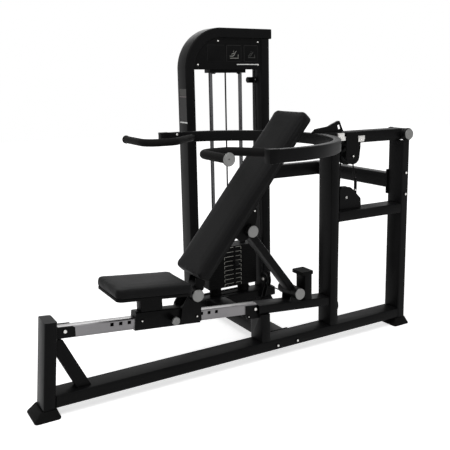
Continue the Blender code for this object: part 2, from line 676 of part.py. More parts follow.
def tower(m):
    """Weight tower: base, bent frame, column, panel, guide rods and stack."""
    near = TOWER_Y - POST_WIDE / 2
    base = tube(
        (TOWER_BASE_START, TOWER_Y, RAIL_TALL / 2), (TOWER_BASE_END, TOWER_Y, RAIL_TALL / 2), Y_AXIS,
        POST_WIDE, RAIL_TALL,
    )
    m.add("tower_base", "black_paint", [base])
    feet = []
    for x in (TOWER_LEFT_X, TOWER_RIGHT_X):
        rings = []
        for z, grow in ((-FOOT_TALL, 0.022), (-FOOT_TALL + 0.008, 0.022), (-0.016, 0.010), (0.0015, 0.004)):
            loop = rect(TOWER_THICK + 2 * grow, POST_WIDE + 2 * grow, 0.014, 4)
            rings.append([Vector((p.x + x, p.y + TOWER_Y, z)) for p in loop])
        feet.append(loft(rings))
    m.add("tower_base", "black_paint", feet)

    half = TOWER_THICK / 2
    ground = RAIL_TALL + GAP
    left, end = TOWER_LEFT_X - half, 2.423
    outer = rounded(
        [(left, ground), (left, TOWER_TOP), (end, TOWER_TOP), (end, TOWER_TOP - TOWER_THICK),
         (left + TOWER_THICK, TOWER_TOP - TOWER_THICK), (left + TOWER_THICK, ground)],
        [0, TOWER_BEND_R, 0, 0, TOWER_BEND_R - TOWER_THICK, 0], 12,
    )
    w = TUBE_WALL
    inner = rounded(
        [(left + w, ground - 0.1), (left + w, TOWER_TOP - w), (end + 0.1, TOWER_TOP - w),
         (end + 0.1, TOWER_TOP - TOWER_THICK + w), (left + TOWER_THICK - w, TOWER_TOP - TOWER_THICK + w),
         (left + TOWER_THICK - w, ground - 0.1)],
        [0, TOWER_BEND_R - w, 0, 0, TOWER_BEND_R - TOWER_THICK + w, 0], 12,
    )
    shell = side_slab([outer], POST_WIDE, TOWER_Y)
    rims = [
        e for e in shell.edges
        if len(e.link_faces) == 2 and e.calc_face_angle() > 1.2
        and abs(abs(e.verts[0].co.y - TOWER_Y) - POST_WIDE / 2) < 1e-5
        and abs(e.verts[0].co.y - e.verts[1].co.y) < 1e-5
        and not all(v.co.z < ground + 1e-4 for v in e.verts) and not all(v.co.x > end - 1e-4 for v in e.verts)
    ]
    bmesh.ops.dissolve_limit(
        shell, angle_limit=0.01, verts=[], use_dissolve_boundaries=False,
        edges=[e for e in shell.edges if len(e.link_faces) == 2 and e.calc_face_angle() < 0.01],
    )
    rims = [
        e for e in shell.edges
        if len(e.link_faces) == 2 and e.calc_face_angle() > 1.2
        and abs(e.verts[0].co.y - e.verts[1].co.y) < 1e-5
        and not all(v.co.z < ground + 1e-4 for v in e.verts) and not all(v.co.x > end - 1e-4 for v in e.verts)
    ]
    bmesh.ops.bevel(
        shell, geom=rims, offset=TUBE_CORNER * 0.7, segments=1, profile=0.5, affect="EDGES", material=-1
    )
    hollow = side_slab([inner], POST_WIDE - 2 * w, TOWER_Y)
    end_cap = slab([rect(POST_WIDE, TOWER_THICK, TUBE_CORNER)], 0.005,
                   basis((end + 0.0015, TOWER_Y, TOWER_TOP - TOWER_THICK / 2), Y_AXIS, Z_AXIS))
    m.add("tower_frame", "black_paint", [cut(shell, hollow), end_cap])
    column = tube(
        (TOWER_RIGHT_X, TOWER_Y, ground), (TOWER_RIGHT_X, TOWER_Y, TOWER_TOP - TOWER_THICK - GAP), Y_AXIS,
        POST_WIDE, TOWER_THICK,
    )
    m.add("tower_right_column", "black_paint", [column])

    p_left, p_right = TOWER_LEFT_X + half + GAP, TOWER_RIGHT_X - half - GAP
    p_top = TOWER_TOP - TOWER_THICK - GAP
    outline = rounded(
        [(p_left, PANEL_LOW), (p_left, p_top), (p_right, p_top), (p_right, PANEL_LOW)],
        [0, TOWER_BEND_R - TOWER_THICK - GAP, 0, 0], 12,
    )
    panel_y = near + 0.008
    m.add("tower_panel", "black_paint", [side_slab([outline], 0.003, panel_y)])
    fields = []
    for x0, x1 in ((2.008, 2.088), (2.104, 2.194), (2.208, 2.298)):
        fields.append(box((x0, panel_y - 0.0026, 1.562), (x1, panel_y - 0.0010, 1.656)))
    m.add("tower_panel", "black_paint", fields)
    screws = []
    for x, z in ((1.897, 1.548), (2.036, 1.688), (2.312, 1.688), (2.312, 1.548)):
        screws.append(bolt((x, panel_y - 0.0015, z), -Y_AXIS, 0.005, 0.004))
    m.add("tower_panel", "black_paint", screws)

    rods = []
    for side in (-1, 1):
        rods.append(disc(ROD_R, ground, ROD_TOP + 0.003, (STACK_X + side * ROD_SPREAD, TOWER_Y, 0), Z_AXIS, 0, 16))
    m.add("guide_rods", "chrome_rod", rods)
    plate = slab(
        [rect(0.250, 0.080, 0.006, 2), circle(0.012, 0, 0, 16)], 0.015,
        basis((STACK_X, TOWER_Y, ROD_TOP + 0.0075), X_AXIS, Y_AXIS),
    )
    straps = []
    for x in (STACK_X - 0.035, STACK_X + 0.108):
        straps.append(box((x - 0.012, TOWER_Y + 0.020, ROD_TOP + 0.014), (x + 0.012, TOWER_Y + 0.026, p_top - 0.002)))
    straps.append(box((STACK_X - 0.048, TOWER_Y - 0.020, p_top - 0.006), (STACK_X + 0.206, TOWER_Y + 0.030, p_top)))
    nuts = [disc(0.014, ROD_TOP + 0.014, ROD_TOP + 0.024, (STACK_X + s * ROD_SPREAD, TOWER_Y, 0), Z_AXIS,
                 0, 6) for s in (-1, 1)]
    m.add("guide_rods", "chrome_rod", [plate, *straps, *nuts])
    bumpers = []
    for side in (-1, 1):
        at = (STACK_X + side * ROD_SPREAD, TOWER_Y, 0)
        bumpers.append(disc(0.0385, ground, STACK_BOTTOM - GAP, at, Z_AXIS, 0.004, 16))
    strip = box((STACK_X - 0.135, TOWER_Y - 0.020, ground), (STACK_X + 0.135, TOWER_Y + 0.020, ground + 0.004))
    m.add("stack_bumpers", "black_rubber", [strip, *bumpers])
    for side in (-1, 1):
        at = (STACK_X + side * ROD_SPREAD, TOWER_Y, 0)
        m.drill("stack_bumpers", disc(ROD_R + GAP, 0, 0.2, at, Z_AXIS, 0.0001, 16))

    peg_z = 1.454
    peg = disc(0.0190, -SINK, 0.050, (TOWER_RIGHT_X - half, TOWER_Y + 0.036, peg_z), -X_AXIS, 0.002)
    m.add("tower_right_column", "black_paint", [peg])


def plate_solid(index, keyed):
    """One weight plate with its rod holes, centre bore and pin hole."""
    low = STACK_BOTTOM + index * PLATE_PITCH
    mid = low + (PLATE_PITCH - GAP * 2) / 2
    loops = [rect(2 * STACK_HALF, POST_WIDE, 0.006, 1), circle(0.0116, 0, 0, 12)]
    for side in (-1, 1):
        loops.append(circle(ROD_R + 0.001, side * ROD_SPREAD, 0, 12))
    solid = slab(loops, PLATE_PITCH - GAP * 2, basis((STACK_X, TOWER_Y, mid), X_AXIS, Y_AXIS))
    if keyed:
        hole = disc(0.0060, 0.0, 0.062, (STACK_X, TOWER_Y - 0.070, mid), Y_AXIS, 0.0005, 8)
        return cut(solid, hole)
    return solid


def stack(m):
    """Fixed and lifted plates, selector rod and pin."""
    for name, first, count in (("lower_weight_plates", 0, PLATES_FIXED),
                               ("lifted_weight_plates", PLATES_FIXED, PLATES_LIFTED)):
        solids = [plate_solid(first + k, True) for k in range(count)]
        low = STACK_BOTTOM + first * PLATE_PITCH
        high = low + count * PLATE_PITCH - 0.004
        solids.append(box((STACK_X + 0.035, TOWER_Y - 0.020, low + 0.004), (STACK_X + 0.065, TOWER_Y + 0.020, high)))
        m.add(name, "plate_steel", solids)
    head = PLATES_FIXED + PLATES_LIFTED
    head_top = STACK_BOTTOM + (head + 1) * PLATE_PITCH - GAP
    loops = [rect(2 * STACK_HALF, POST_WIDE, 0.006, 1), circle(0.0116, 0, 0, 12)]
    for side in (-1, 1):
        loops.append(circle(ROD_R + 0.001, side * ROD_SPREAD, 0, 12))
    low = STACK_BOTTOM + head * PLATE_PITCH
    plate = slab(loops, head_top - low, basis((STACK_X, TOWER_Y, (head_top + low) / 2), X_AXIS, Y_AXIS))
    m.add("head_plate", "plate_steel", [plate])
    collars = []
    for side in (-1, 1):
        at = (STACK_X + side * ROD_SPREAD, TOWER_Y, 0)
        span = [(ROD_R + 0.0016, head_top - SINK), (0.019, head_top - SINK), (0.019, head_top + 0.022),
                (ROD_R + 0.0016, head_top + 0.022)]
        collars.append(lathe(span, at, Z_AXIS, True, 12))
    m.add("head_plate", "plate_steel", collars)

    pin_z = STACK_BOTTOM + PLATES_FIXED * PLATE_PITCH + (PLATE_PITCH - GAP * 2) / 2
    top = head_top + 0.042
    rod = disc(0.011, STACK_BOTTOM + 0.004, top, (STACK_X, TOWER_Y, 0), Z_AXIS, 0, 16)
    nut = disc(0.016, head_top + GAP, head_top + 0.016, (STACK_X, TOWER_Y, 0), Z_AXIS, 0, 6)
    clevis = disc(0.009, top - SINK, top + 0.030, (STACK_X, TOWER_Y, 0), Z_AXIS, 0.002, 12)
    m.add("selector_rod", "chrome_rod", [rod, nut, clevis])
    for k in range(head):
        z = STACK_BOTTOM + k * PLATE_PITCH + (PLATE_PITCH - GAP * 2) / 2
        m.drill("selector_rod", disc(0.0060, 0.0, 0.062, (STACK_X, TOWER_Y - 0.031, z), Y_AXIS, 0.0005, 6))

    near = TOWER_Y - POST_WIDE / 2
    stem = disc(0.0050, -0.010, 0.068, (STACK_X, near, pin_z), Y_AXIS, 0.001, 16)
    knob_profile = [(0, 0.006), (0.012, 0.006), (0.014, 0.010), (0.014, 0.028), (0.019, 0.034),
                    (0.021, 0.042), (0.018, 0.049), (0.010, 0.053), (0, 0.054)]
    knob = lathe(knob_profile, (STACK_X, near + 0.001, pin_z), -Y_AXIS, False, 16)
    m.add("selector_pin", "black_plastic", [stem], (STACK_X, near, pin_z))
    m.add("selector_pin", "black_plastic", [knob], (STACK_X, near, pin_z))

    top_run = TOP_PULLEY_Z - GAP
    strand = sweep([(STACK_X, TOWER_Y, top + 0.030 + GAP), (STACK_X, TOWER_Y, top_run)], CABLE_R, 2)
    m.add("cable_stack_run", "cable_black", [strand])



def pulley(centre, axis, radius=PULLEY_R, wide=0.020):
    """Grooved pulley with a hub and a bore."""
    half = wide / 2
    groove = radius - 2 * CABLE_R
    profile = [(0.0055, -half), (0.016, -half), (groove - 0.006, -half + 0.004), (radius, -half),
               (groove, -0.0035), (groove, 0.0035), (radius, half), (groove - 0.006, half - 0.004),
               (0.016, half), (0.0055, half)]
    return lathe(profile, centre, axis, True, 16)


def arc(centre, radius, start, stop, u, v, count=7):
    """Points of an arc in the plane of u and v, angles in degrees."""
    out = []
    for k in range(count + 1):
        a = math.radians(start + (stop - start) * k / count)
        out.append(Vector(centre) + (Vector(u) * math.cos(a) + Vector(v) * math.sin(a)) * radius)
    return out


def cable(m):
    """Pulleys, their brackets and the cable run from the stack to the press arm."""
    ride = PULLEY_R - 2 * CABLE_R + CABLE_R + GAP
    top_left = Vector((STACK_X + ride, TOWER_Y, TOP_PULLEY_Z))
    top_right = Vector((TOWER_PULLEY_X - ride - 0.004, TOWER_Y, TOP_PULLEY_Z))
    m.add("top_pulley_stack", "black_plastic", [pulley(top_left, Y_AXIS)], top_left)
    m.add("top_pulley_down", "black_plastic", [pulley(top_right, Y_AXIS)], top_right)
    tower_c = Vector((TOWER_PULLEY_X, TOWER_Y - POST_WIDE / 2 - 0.047, 0.146))
    base_c = Vector((FLOOR_PULLEY_X, ride, tower_c.z))
    m.add("floor_pulley_tower", "black_plastic", [pulley(tower_c, X_AXIS)], tower_c)
    m.add("floor_pulley_base", "black_plastic", [pulley(base_c, X_AXIS)], base_c)
    guide_c = Vector((GUIDE_PULLEY[0], 0, GUIDE_PULLEY[1]))
    arm_c = Vector((ARM_PULLEY[0], 0, ARM_PULLEY[1]))
    m.add("guide_pulley", "black_plastic", [pulley(guide_c, Y_AXIS)], guide_c)
    m.add("arm_pulley", "black_plastic", [pulley(arm_c, Y_AXIS)], arm_c)

    path = [top_left + Vector((-ride, 0, GAP))]
    path += arc(top_left, ride, 180, 90, X_AXIS, Z_AXIS)[1:]
    path += arc(top_right, ride, 90, 0, X_AXIS, Z_AXIS)
    down = path[-1]
    path += [down - Vector((0, 0, 0.12)), Vector((TOWER_PULLEY_X, tower_c.y + ride, tower_c.z + 0.06))]
    path += arc(tower_c, ride, 0, -90, Y_AXIS, Z_AXIS)
    path += arc(base_c, ride, -90, -180, Y_AXIS, Z_AXIS)
    path += [Vector((FLOOR_PULLEY_X, 0, 0.30)), Vector((FLOOR_PULLEY_X + 0.0005, 0, guide_c.z - 0.040))]
    path[-1].x = guide_c.x - ride
    path += [Vector((guide_c.x - ride, 0, guide_c.z - 2 * GAP))]
    m.add("cable_fixed_run", "cable_black", [sweep(path, CABLE_R, 1)])
    loop = [Vector((guide_c.x - ride, 0, guide_c.z))]
    loop += arc(arm_c, ride, 180, 0, X_AXIS, Z_AXIS, 12)
    loop += [Vector((2.496, 0, 0.824))]
    m.add("cable_arm_loop", "cable_black", [sweep(loop, CABLE_R, 1)])

    mid_top = MID_TUBE_Z + POST_THICK / 2 + GAP
    outline = rounded([(2.382, mid_top), (2.540, mid_top), (2.536, 0.778), (2.499, 0.813), (2.460, 0.851), (2.382, 0.854)],
                      [0, 0, 0.015, 0, 0.045, 0.025], 3)
    m.add("guide_pulley_bracket", "black_paint", both(side_slab([outline], 0.005, -0.0170)))
    anchor = box((2.484, -0.0150, 0.800), (2.510, 0.0150, 0.8235), 0.002)
    axle = disc(0.0050, -0.024, 0.024, guide_c, Y_AXIS, 0, 12)
    m.add("guide_pulley_bracket", "black_paint", [anchor, axle])

    face = TOWER_Y - POST_WIDE / 2 + SINK
    plan = [(tower_c.y - 0.020, tower_c.z - 0.018), (tower_c.y - 0.012, tower_c.z + 0.020),
            (tower_c.y + 0.030, 0.090), (face, 0.052), (face, 0.010), (tower_c.y + 0.030, 0.010)]
    for side in (-1, 1):
        cheek = slab([rounded(plan, [0.008, 0.008, 0.01, 0, 0, 0], 2)], 0.005,
                     basis((tower_c.x + side * 0.0150, 0, 0), Y_AXIS, Z_AXIS))
        m.add("tower_base", "black_paint", [cheek])
    m.add("tower_base", "black_paint", [disc(0.0050, -0.024, 0.024, tower_c, X_AXIS, 0, 12)])
    low = RAIL_TALL - SINK
    plan = [(base_c.y - 0.030, low), (base_c.y + 0.018, low), (base_c.y + 0.014, base_c.z + 0.016),
            (base_c.y - 0.014, base_c.z + 0.016)]
    for side in (-1, 1):
        cheek = slab([rounded(plan, [0, 0, 0.012, 0.012], 2)], 0.005,
                     basis((base_c.x + side * 0.0150, 0, 0), Y_AXIS, Z_AXIS))
        m.add("base_rail", "black_paint", [cheek])
    m.add("base_rail", "black_paint", [disc(0.0050, -0.024, 0.024, base_c, X_AXIS, 0, 12)])

    p_top = TOWER_TOP - TOWER_THICK - GAP
    for c in (top_left, top_right):
        outline = rounded([(c.x - 0.018, c.z - 0.020), (c.x + 0.018, c.z - 0.020), (c.x + 0.018, p_top - 0.002),
                           (c.x - 0.018, p_top - 0.002)], [0.012, 0.012, 0, 0], 2)
        for side in (-1, 1):
            m.add("guide_rods", "chrome_rod", [side_slab([outline], 0.004, TOWER_Y + side * 0.0145)])
        m.add("guide_rods", "chrome_rod", [disc(0.0050, -0.019, 0.019, c, Y_AXIS, 0, 12)])


def press_arm(m):
    """Beam, yoke, pulley plates, handles and grips."""
    at = (ARM_PIVOT[0], 0, ARM_PIVOT[1])
    low = ARM_TOP - BEAM_TALL
    back = YOKE_CENTRE_X + YOKE_R
    hub_r = 0.034
    beam_z = ARM_TOP - BEAM_TALL / 2
    beam = tube((back + GAP, 0, beam_z), (ARM_PIVOT[0] - 0.014, 0, beam_z), Y_AXIS, BEAM_WIDE, BEAM_TALL - 0.0004)
    hub = disc(hub_r, -0.0555, 0.0555, at, Y_AXIS, 0.0015)
    m.add("arm_beam", "black_paint", [beam, hub], at)
    m.drill("arm_beam", disc(SHAFT_R + RUN, -0.1, 0.1, at, Y_AXIS, 0.0001))

    z_mid = ARM_TOP - ARM_TALL / 2
    w = TUBE_WALL

    def u_shape(outer, inner, front):
        half_out, half_in = outer, inner
        pts = [Vector((front, -half_out, 0))]
        pts += [Vector((YOKE_CENTRE_X + half_out * math.sin(a), -half_out * math.cos(a), 0))
                for a in [PI * k / 28 for k in range(29)]]
        pts += [Vector((front, half_out, 0)), Vector((front, half_in, 0))]
        pts += [Vector((YOKE_CENTRE_X + half_in * math.sin(a), half_in * math.cos(a), 0))
                for a in [PI * k / 28 for k in range(29)]]
        pts += [Vector((front, -half_in, 0))]
        return pts

    shell = slab([u_shape(YOKE_R, YOKE_R - YOKE_THICK, YOKE_FRONT_X)], ARM_TALL)
    bmesh.ops.dissolve_limit(
        shell, angle_limit=0.01, verts=[], use_dissolve_boundaries=False,
        edges=[e for e in shell.edges if len(e.link_faces) == 2 and e.calc_face_angle() < 0.01],
    )
    rims = [
        e for e in shell.edges
        if len(e.link_faces) == 2 and e.calc_face_angle() > 1.2
        and abs(e.verts[0].co.z - e.verts[1].co.z) < 1e-5
        and not all(v.co.x < YOKE_FRONT_X + 1e-4 for v in e.verts)
    ]
    bmesh.ops.bevel(shell, geom=rims, offset=0.005, segments=1, profile=0.5, affect="EDGES", material=-1)
    hollow = slab([u_shape(YOKE_R - w, YOKE_R - YOKE_THICK + w, YOKE_FRONT_X + 0.008)], ARM_TALL - 2 * w)
    yoke = cut(shell, hollow, disc(0.012, YOKE_R - 0.010, YOKE_R + 0.010, (YOKE_CENTRE_X, 0, 0), X_AXIS, 0.001, 16))
    yoke.transform(Matrix.Translation((0, 0, z_mid)))
    m.add("arm_yoke", "black_paint", [yoke], at)

    top, sunk = ARM_TOP + GAP, ARM_TOP - 0.0012
    step = back + GAP
    crest = [(2.192, top), (2.217, 1.190), (2.300, 1.200), (2.372, 1.228), (2.384, 1.228), (2.414, sunk),
             (step, sunk), (step, top)]
    eye = [(2.388, 1.182), (2.396, 1.182), (2.388, 1.206), (2.381, 1.206)]
    outline = rounded(crest, [0, 0.012, 0.012, 0.006, 0.006, 0, 0, 0], 3)
    m.add("arm_beam", "black_paint", [side_slab([outline, rounded(eye, 0.002, 2)], 0.010, 0)])

    px, pz = ARM_PULLEY
    side = BEAM_WIDE / 2 + GAP
    bar_thick = 0.006
    plate = rounded([(2.398, 1.164), (2.500, 1.164), (2.500, 1.080), (px + 0.046, 0.984), (px - 0.044, 0.984),
                     (2.398, 1.080)], [0.006, 0.006, 0.06, 0.040, 0.040, 0.06], 3)
    near_y = -(side + bar_thick + GAP + 0.003)
    m.add("arm_pulley_cheeks", "black_paint", [side_slab([plate], 0.006, near_y)], at)
    m.add("arm_pulley_cheeks", "black_paint", [side_slab([plate], 0.006, side + 0.003)])
    m.add("arm_pulley_cheeks", "black_paint", [disc(0.0050, near_y - 0.008, side + 0.011, (px, 0, pz), Y_AXIS, 0, 12)])
    near_spacer = disc(0.010, 0.0110, -near_y, (px, 0, pz), -Y_AXIS, 0, 12)
    far_spacer = disc(0.010, 0.0110, side + 0.001, (px, 0, pz), Y_AXIS, 0, 12)
    m.add("arm_pulley_cheeks", "black_paint", [near_spacer, far_spacer])

    blocks = [box((2.343, -side - bar_thick, 1.120), (2.543, -side, 1.142), 0.001)]
    for x, z in ((2.3645, 1.141), (2.5225, 1.121)):
        blocks.append(box((x - 0.0215, -side - 0.016, z - 0.019), (x + 0.0215, -side - 0.0003, z + 0.019), 0.003))
    m.add("arm_slide_bar", "satin_silver", blocks, at)

    inner = YOKE_R - YOKE_THICK - GAP
    path = rounded([(GRIP_X, -GRIP_HALF, 0), (GRIP_X, -0.268, 0), (1.505, -0.262, 0), (1.745, -inner, 0)],
                   [0, 0.070, 0.080, 0], 5, False)
    path = [Vector((p.x, p.y, GRIP_Z - max(0.0, (p.x - 1.50) * 0.030))) for p in path]
    bar = sweep(path, HANDLE_R, 2)
    wall = slab([u_shape(YOKE_R + 0.02, inner, YOKE_FRONT_X)], 2 * ARM_TALL)
    wall.transform(Matrix.Translation((0, 0, z_mid)))
    bar = cut(bar, wall)
    end = disc(0.0265, -0.0012, 0.006, (GRIP_X, -GRIP_HALF, GRIP_Z), -Y_AXIS, 0.0015)
    grip_path = [Vector((GRIP_X, -GRIP_HALF + 0.0015, GRIP_Z))] + [p for p in path[1:] if p.x < 1.56]
    outer = sweep(grip_path, GRIP_R, 2)
    head = grip_path[0] + (grip_path[0] - grip_path[1]).normalized() * 0.004
    tail = grip_path[-1] + (grip_path[-1] - grip_path[-2]).normalized() * 0.004
    core = sweep([head] + grip_path[1:-1] + [tail], HANDLE_R + GAP, 2)
    grip = cut(outer, core)
    m.add("handle_near", "black_paint", [bar.copy(), end.copy()], at)
    m.add("handle_far", "black_paint", [mirrored(bar), mirrored(end)], at)
    m.add("grip_near", "grip_foam", [grip.copy()], at)
    m.add("grip_far", "grip_foam", [mirrored(grip)], at)


def carriage(m):
    """Seat carriage, seat post, seat and pop pin."""
    run = Vector((1, 0, RAIL_SLOPE)).normalized()
    up = Vector((-RAIL_SLOPE, 0, 1)).normalized()
    clear = 0.0012
    x0, x1 = 1.120, 1.470
    a = Vector((x0, 0, under(x0))) + up * SEAT_RAIL_DEEP / 2
    b = Vector((x1, 0, under(x1))) + up * SEAT_RAIL_DEEP / 2
    length = (b - a).length
    inner = rect(SEAT_RAIL_WIDE + 2 * clear, SEAT_RAIL_DEEP + 2 * clear, 0.004, 1)
    w, low, high = SEAT_RAIL_WIDE / 2 + clear + 0.006, SEAT_RAIL_DEEP / 2 + clear + 0.005, 0.0565
    outer = rounded([(-w, -low), (w, -low), (w, high), (-w, high)], 0.006, 3)
    place = Matrix((Y_AXIS, up, run)).transposed().to_4x4()
    place = Matrix.Translation((a + b) / 2) @ place
    sleeve = slab([outer, inner], length, place)
    m.add("carriage_sleeve", "black_paint", [sleeve])

    px, pz = SEAT_PIVOT
    half = HUB_WIDE / 2
    low_left, low_right = 1.352, 1.468
    block = rounded([(low_left, under(low_left) + 0.010), (low_right, under(low_right) + 0.010), (low_right, 0.366),
                     (px + 0.010, 0.3745), (px - 0.012, 0.3745), (low_left + 0.012, 0.352)],
                    [0.004, 0.004, 0.012, 0.004, 0.004, 0.012], 2)
    ear_low, ear_high = half + GAP, half + GAP + 0.0105
    spacer = side_slab([block], ear_high - w + 0.002, -(ear_high + w - 0.002) / 2)
    lobe = rounded([(low_left, under(low_left) + 0.010), (low_right, under(low_right) + 0.010), (low_right, 0.366),
                    (px + 0.028, pz + 0.004), (px - 0.028, pz + 0.004), (low_left + 0.012, 0.352)],
                   [0.004, 0.004, 0.02, 0.006, 0.006, 0.02], 2)
    ear = side_slab([lobe], ear_high - ear_low, -(ear_low + ear_high) / 2)
    housing = disc(BARREL_R, ear_low, BARREL_WIDE / 2, (px, 0, pz), -Y_AXIS, 0.0015)
    m.add("carriage_sleeve", "black_paint", both(spacer) + both(ear) + both(housing))
    m.drill("carriage_sleeve", disc(SHAFT_R + RUN, -0.1, 0.1, (px, 0, pz), Y_AXIS, 0.0001))
    m.add("seat_pivot_pin", "satin_silver", pivot_pin(SEAT_PIVOT, BARREL_WIDE / 2))

    tilt = Vector((SEAT_REAR[0] - SEAT_FRONT[0], 0, SEAT_REAR[1] - SEAT_FRONT[1])).normalized()
    out = Vector((-tilt.z, 0, tilt.x))
    under_board = Vector((SEAT_FRONT[0], 0, SEAT_FRONT[1])) - out * (SEAT_DEEP + BOARD_DEEP + CROWN)
    seat_line = lambda x: under_board.z + (x - under_board.x) * tilt.z / tilt.x
    cx, thick = 1.2115, 0.117
    top_line = lambda x: under(x) + (SEAT_RAIL_DEEP / 2 + high) * math.sqrt(1 + RAIL_SLOPE**2)
    bottom, top = top_line(cx) + GAP, seat_line(cx) - GAP
    post = tube((cx, 0, bottom), (cx, 0, top), Y_AXIS, RAIL_TALL, thick, TUBE_CORNER)
    slant(post, lambda p: p.z < bottom + 1e-4, lambda p: Vector((0, 0, RAIL_SLOPE * (p.x - cx))))
    slant(post, lambda p: p.z > top - 1e-4, lambda p: Vector((0, 0, tilt.z / tilt.x * (p.x - cx))))
    m.add("seat_post", "black_paint", [post])

    length = math.hypot(SEAT_REAR[0] - SEAT_FRONT[0], SEAT_REAR[1] - SEAT_FRONT[1])
    place = basis(under_board, -Y_AXIS, tilt)
    board = slab([[Vector((p.x, p.y + length / 2, 0)) for p in rect(2 * SEAT_HALF - 0.008, length - 0.008, 0.026, 6)]],
                 BOARD_DEEP - GAP, place @ Matrix.Translation((0, 0, BOARD_DEEP / 2 - GAP / 2)))
    m.add("seat_board", "board_black", [board])
    pad = cushion(length, SEAT_HALF, 0.030, SEAT_DEEP, CROWN, place @ Matrix.Translation((0, 0, BOARD_DEEP)))
    m.add("seat_cushion", "black_vinyl", [pad])

    pin_x = HOLE_FIRST_X + 7 * HOLE_PITCH
    at = Vector((pin_x, -w, under(pin_x) + 0.0395))
    barrel = disc(0.0145, -SINK, 0.045, at, -Y_AXIS, 0.0009, 24)
    m.add("carriage_sleeve", "black_paint", [barrel])
    m.drill("carriage_sleeve", disc(0.0065, -0.0065, 0.07, at, -Y_AXIS, 0.0005, 16))
    pin = disc(0.0060, -0.0065, 0.0632, at, -Y_AXIS, 0.0008, 16)
    knob = lathe([(0.004, 0.0465), (0.016, 0.0465), (0.0225, 0.051), (0.0225, 0.059), (0.019, 0.063),
                  (0.004, 0.063)], at, -Y_AXIS, True, 16)
    m.add("pop_pin", "satin_silver", [pin, knob], at)
    for x, rise, y in ((1.156, 0.042, w), (1.442, 0.038, ear_high)):
        m.add("carriage_sleeve", "black_paint", both(bolt((x, -y, under(x) + rise), -Y_AXIS, 0.008, 0.005)))


def backrest(m):
    """Backrest pad, board, spine, bracket plates and the link arm."""
    u = Vector((math.cos(BACK_ANGLE), 0, math.sin(BACK_ANGLE)))
    n = Vector((math.sin(BACK_ANGLE), 0, -math.cos(BACK_ANGLE)))
    corner = Vector((PAD_BOTTOM[0], 0, PAD_BOTTOM[1]))
    pivot = Vector((SEAT_PIVOT[0], 0, SEAT_PIVOT[1]))
    depth = PAD_DEEP + BOARD_DEEP
    place = basis(corner + n * depth, -Y_AXIS, u)
    board = slab([[Vector((p.x, p.y + PAD_LONG / 2, 0)) for p in rect(2 * PAD_HALF - 0.008, PAD_LONG - 0.008, 0.028, 6)]],
                 BOARD_DEEP - GAP, place @ Matrix.Translation((0, 0, BOARD_DEEP / 2 - GAP / 2)))
    m.add("backrest_board", "board_black", [board], pivot)
    pad = cushion(PAD_LONG, PAD_HALF, 0.032, PAD_DEEP - CROWN, CROWN, place @ Matrix.Translation((0, 0, BOARD_DEEP)))
    m.add("backrest_cushion", "black_vinyl", [pad], pivot)

    def spot(d, depth_n, y=0.0):
        p = corner + u * d + n * depth_n
        return Vector((p.x, y, p.z))

    spine_n = depth + GAP + 0.020
    spine = tube(spot(0.020, spine_n), spot(0.700, spine_n), Y_AXIS, HUB_WIDE + 0.002, 0.040, 0.008)
    m.add("backrest_spine", "black_paint", [spine], pivot)

    def flat(points, radii, thick, y):
        loop = [Vector((p.x, p.z)) for p in [spot(d, k) for d, k in points]]
        return side_slab([rounded(loop, radii, 2)], thick, y)

    half = HUB_WIDE / 2
    y_plate = half + GAP + 0.005
    mount = [(0.290, 0.070), (0.430, 0.070), (0.440, 0.100), (0.376, 0.160), (0.324, 0.160), (0.290, 0.100)]
    px, pz = BACK_PIVOT
    plate = flat(mount, [0.004, 0.004, 0.010, 0.010, 0.010, 0.010], 0.010, -y_plate)
    housing = disc(BARREL_R, half + GAP, BARREL_WIDE / 2, (px, 0, pz), -Y_AXIS, 0.0015)
    m.add("backrest_spine", "black_paint", both(plate) + both(housing))
    m.drill("backrest_spine", disc(SHAFT_R + RUN, -0.1, 0.1, (px, 0, pz), Y_AXIS, 0.0001))
    near, far = cap_pair(BACK_PIVOT, BARREL_WIDE / 2)
    m.add("back_pivot_cap_near", "satin_silver", [near], pivot)
    m.add("back_pivot_cap_far", "satin_silver", [far], pivot)

    sx, sz = SEAT_PIVOT
    hub = disc(BARREL_R, -half, half, (sx, 0, sz), Y_AXIS, 0.0015)
    neck = [(-0.058, 0.070), (0.024, 0.0640), (0.024, 0.1030), (-0.058, 0.1030)]
    arm = flat(neck, [0, 0, 0, 0], HUB_WIDE - 0.020, 0)
    m.add("backrest_spine", "black_paint", [hub, arm])
    m.drill("backrest_spine", disc(SHAFT_R + RUN, -0.1, 0.1, (sx, 0, sz), Y_AXIS, 0.0001))
    for d, k, y in ((0.120, spine_n, half + 0.001), (0.600, spine_n, half + 0.001), (0.408, 0.092, half + GAP + 0.010)):
        m.add("backrest_spine", "black_paint", both(bolt(spot(d, k, -y), -Y_AXIS, 0.009, 0.006)))

    bx, bz = BASE_PIVOT
    a, b = Vector((bx, 0, bz)), Vector((px, 0, pz))
    d = (b - a).normalized()
    rod = tube(a + d * (BARREL_R - 0.004), b - d * (BARREL_R - 0.004), Y_AXIS, HUB_WIDE, 0.040, 0.008)
    hubs = [disc(BARREL_R, -half, half, c, Y_AXIS, 0.0015) for c in (a, b)]
    m.add("link_arm", "black_paint", [rod, *hubs], a)
    m.drill("link_arm", *[disc(SHAFT_R + RUN, -0.1, 0.1, c, Y_AXIS, 0.0001) for c in (a, b)])


def main():
    """Builds every node."""
    m = Machine()
    near_frame(m)
    near_details(m)
    pivots(m)
    tower(m)
    stack(m)
    cable(m)
    press_arm(m)
    carriage(m)
    backrest(m)
    m.build()


main()
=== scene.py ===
"""Dressed scene of a chest and shoulder press machine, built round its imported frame."""

import json
import logging
import math
from dataclasses import dataclass, field
from enum import Enum

import bmesh
import bpy
from mathutils import Matrix, Vector

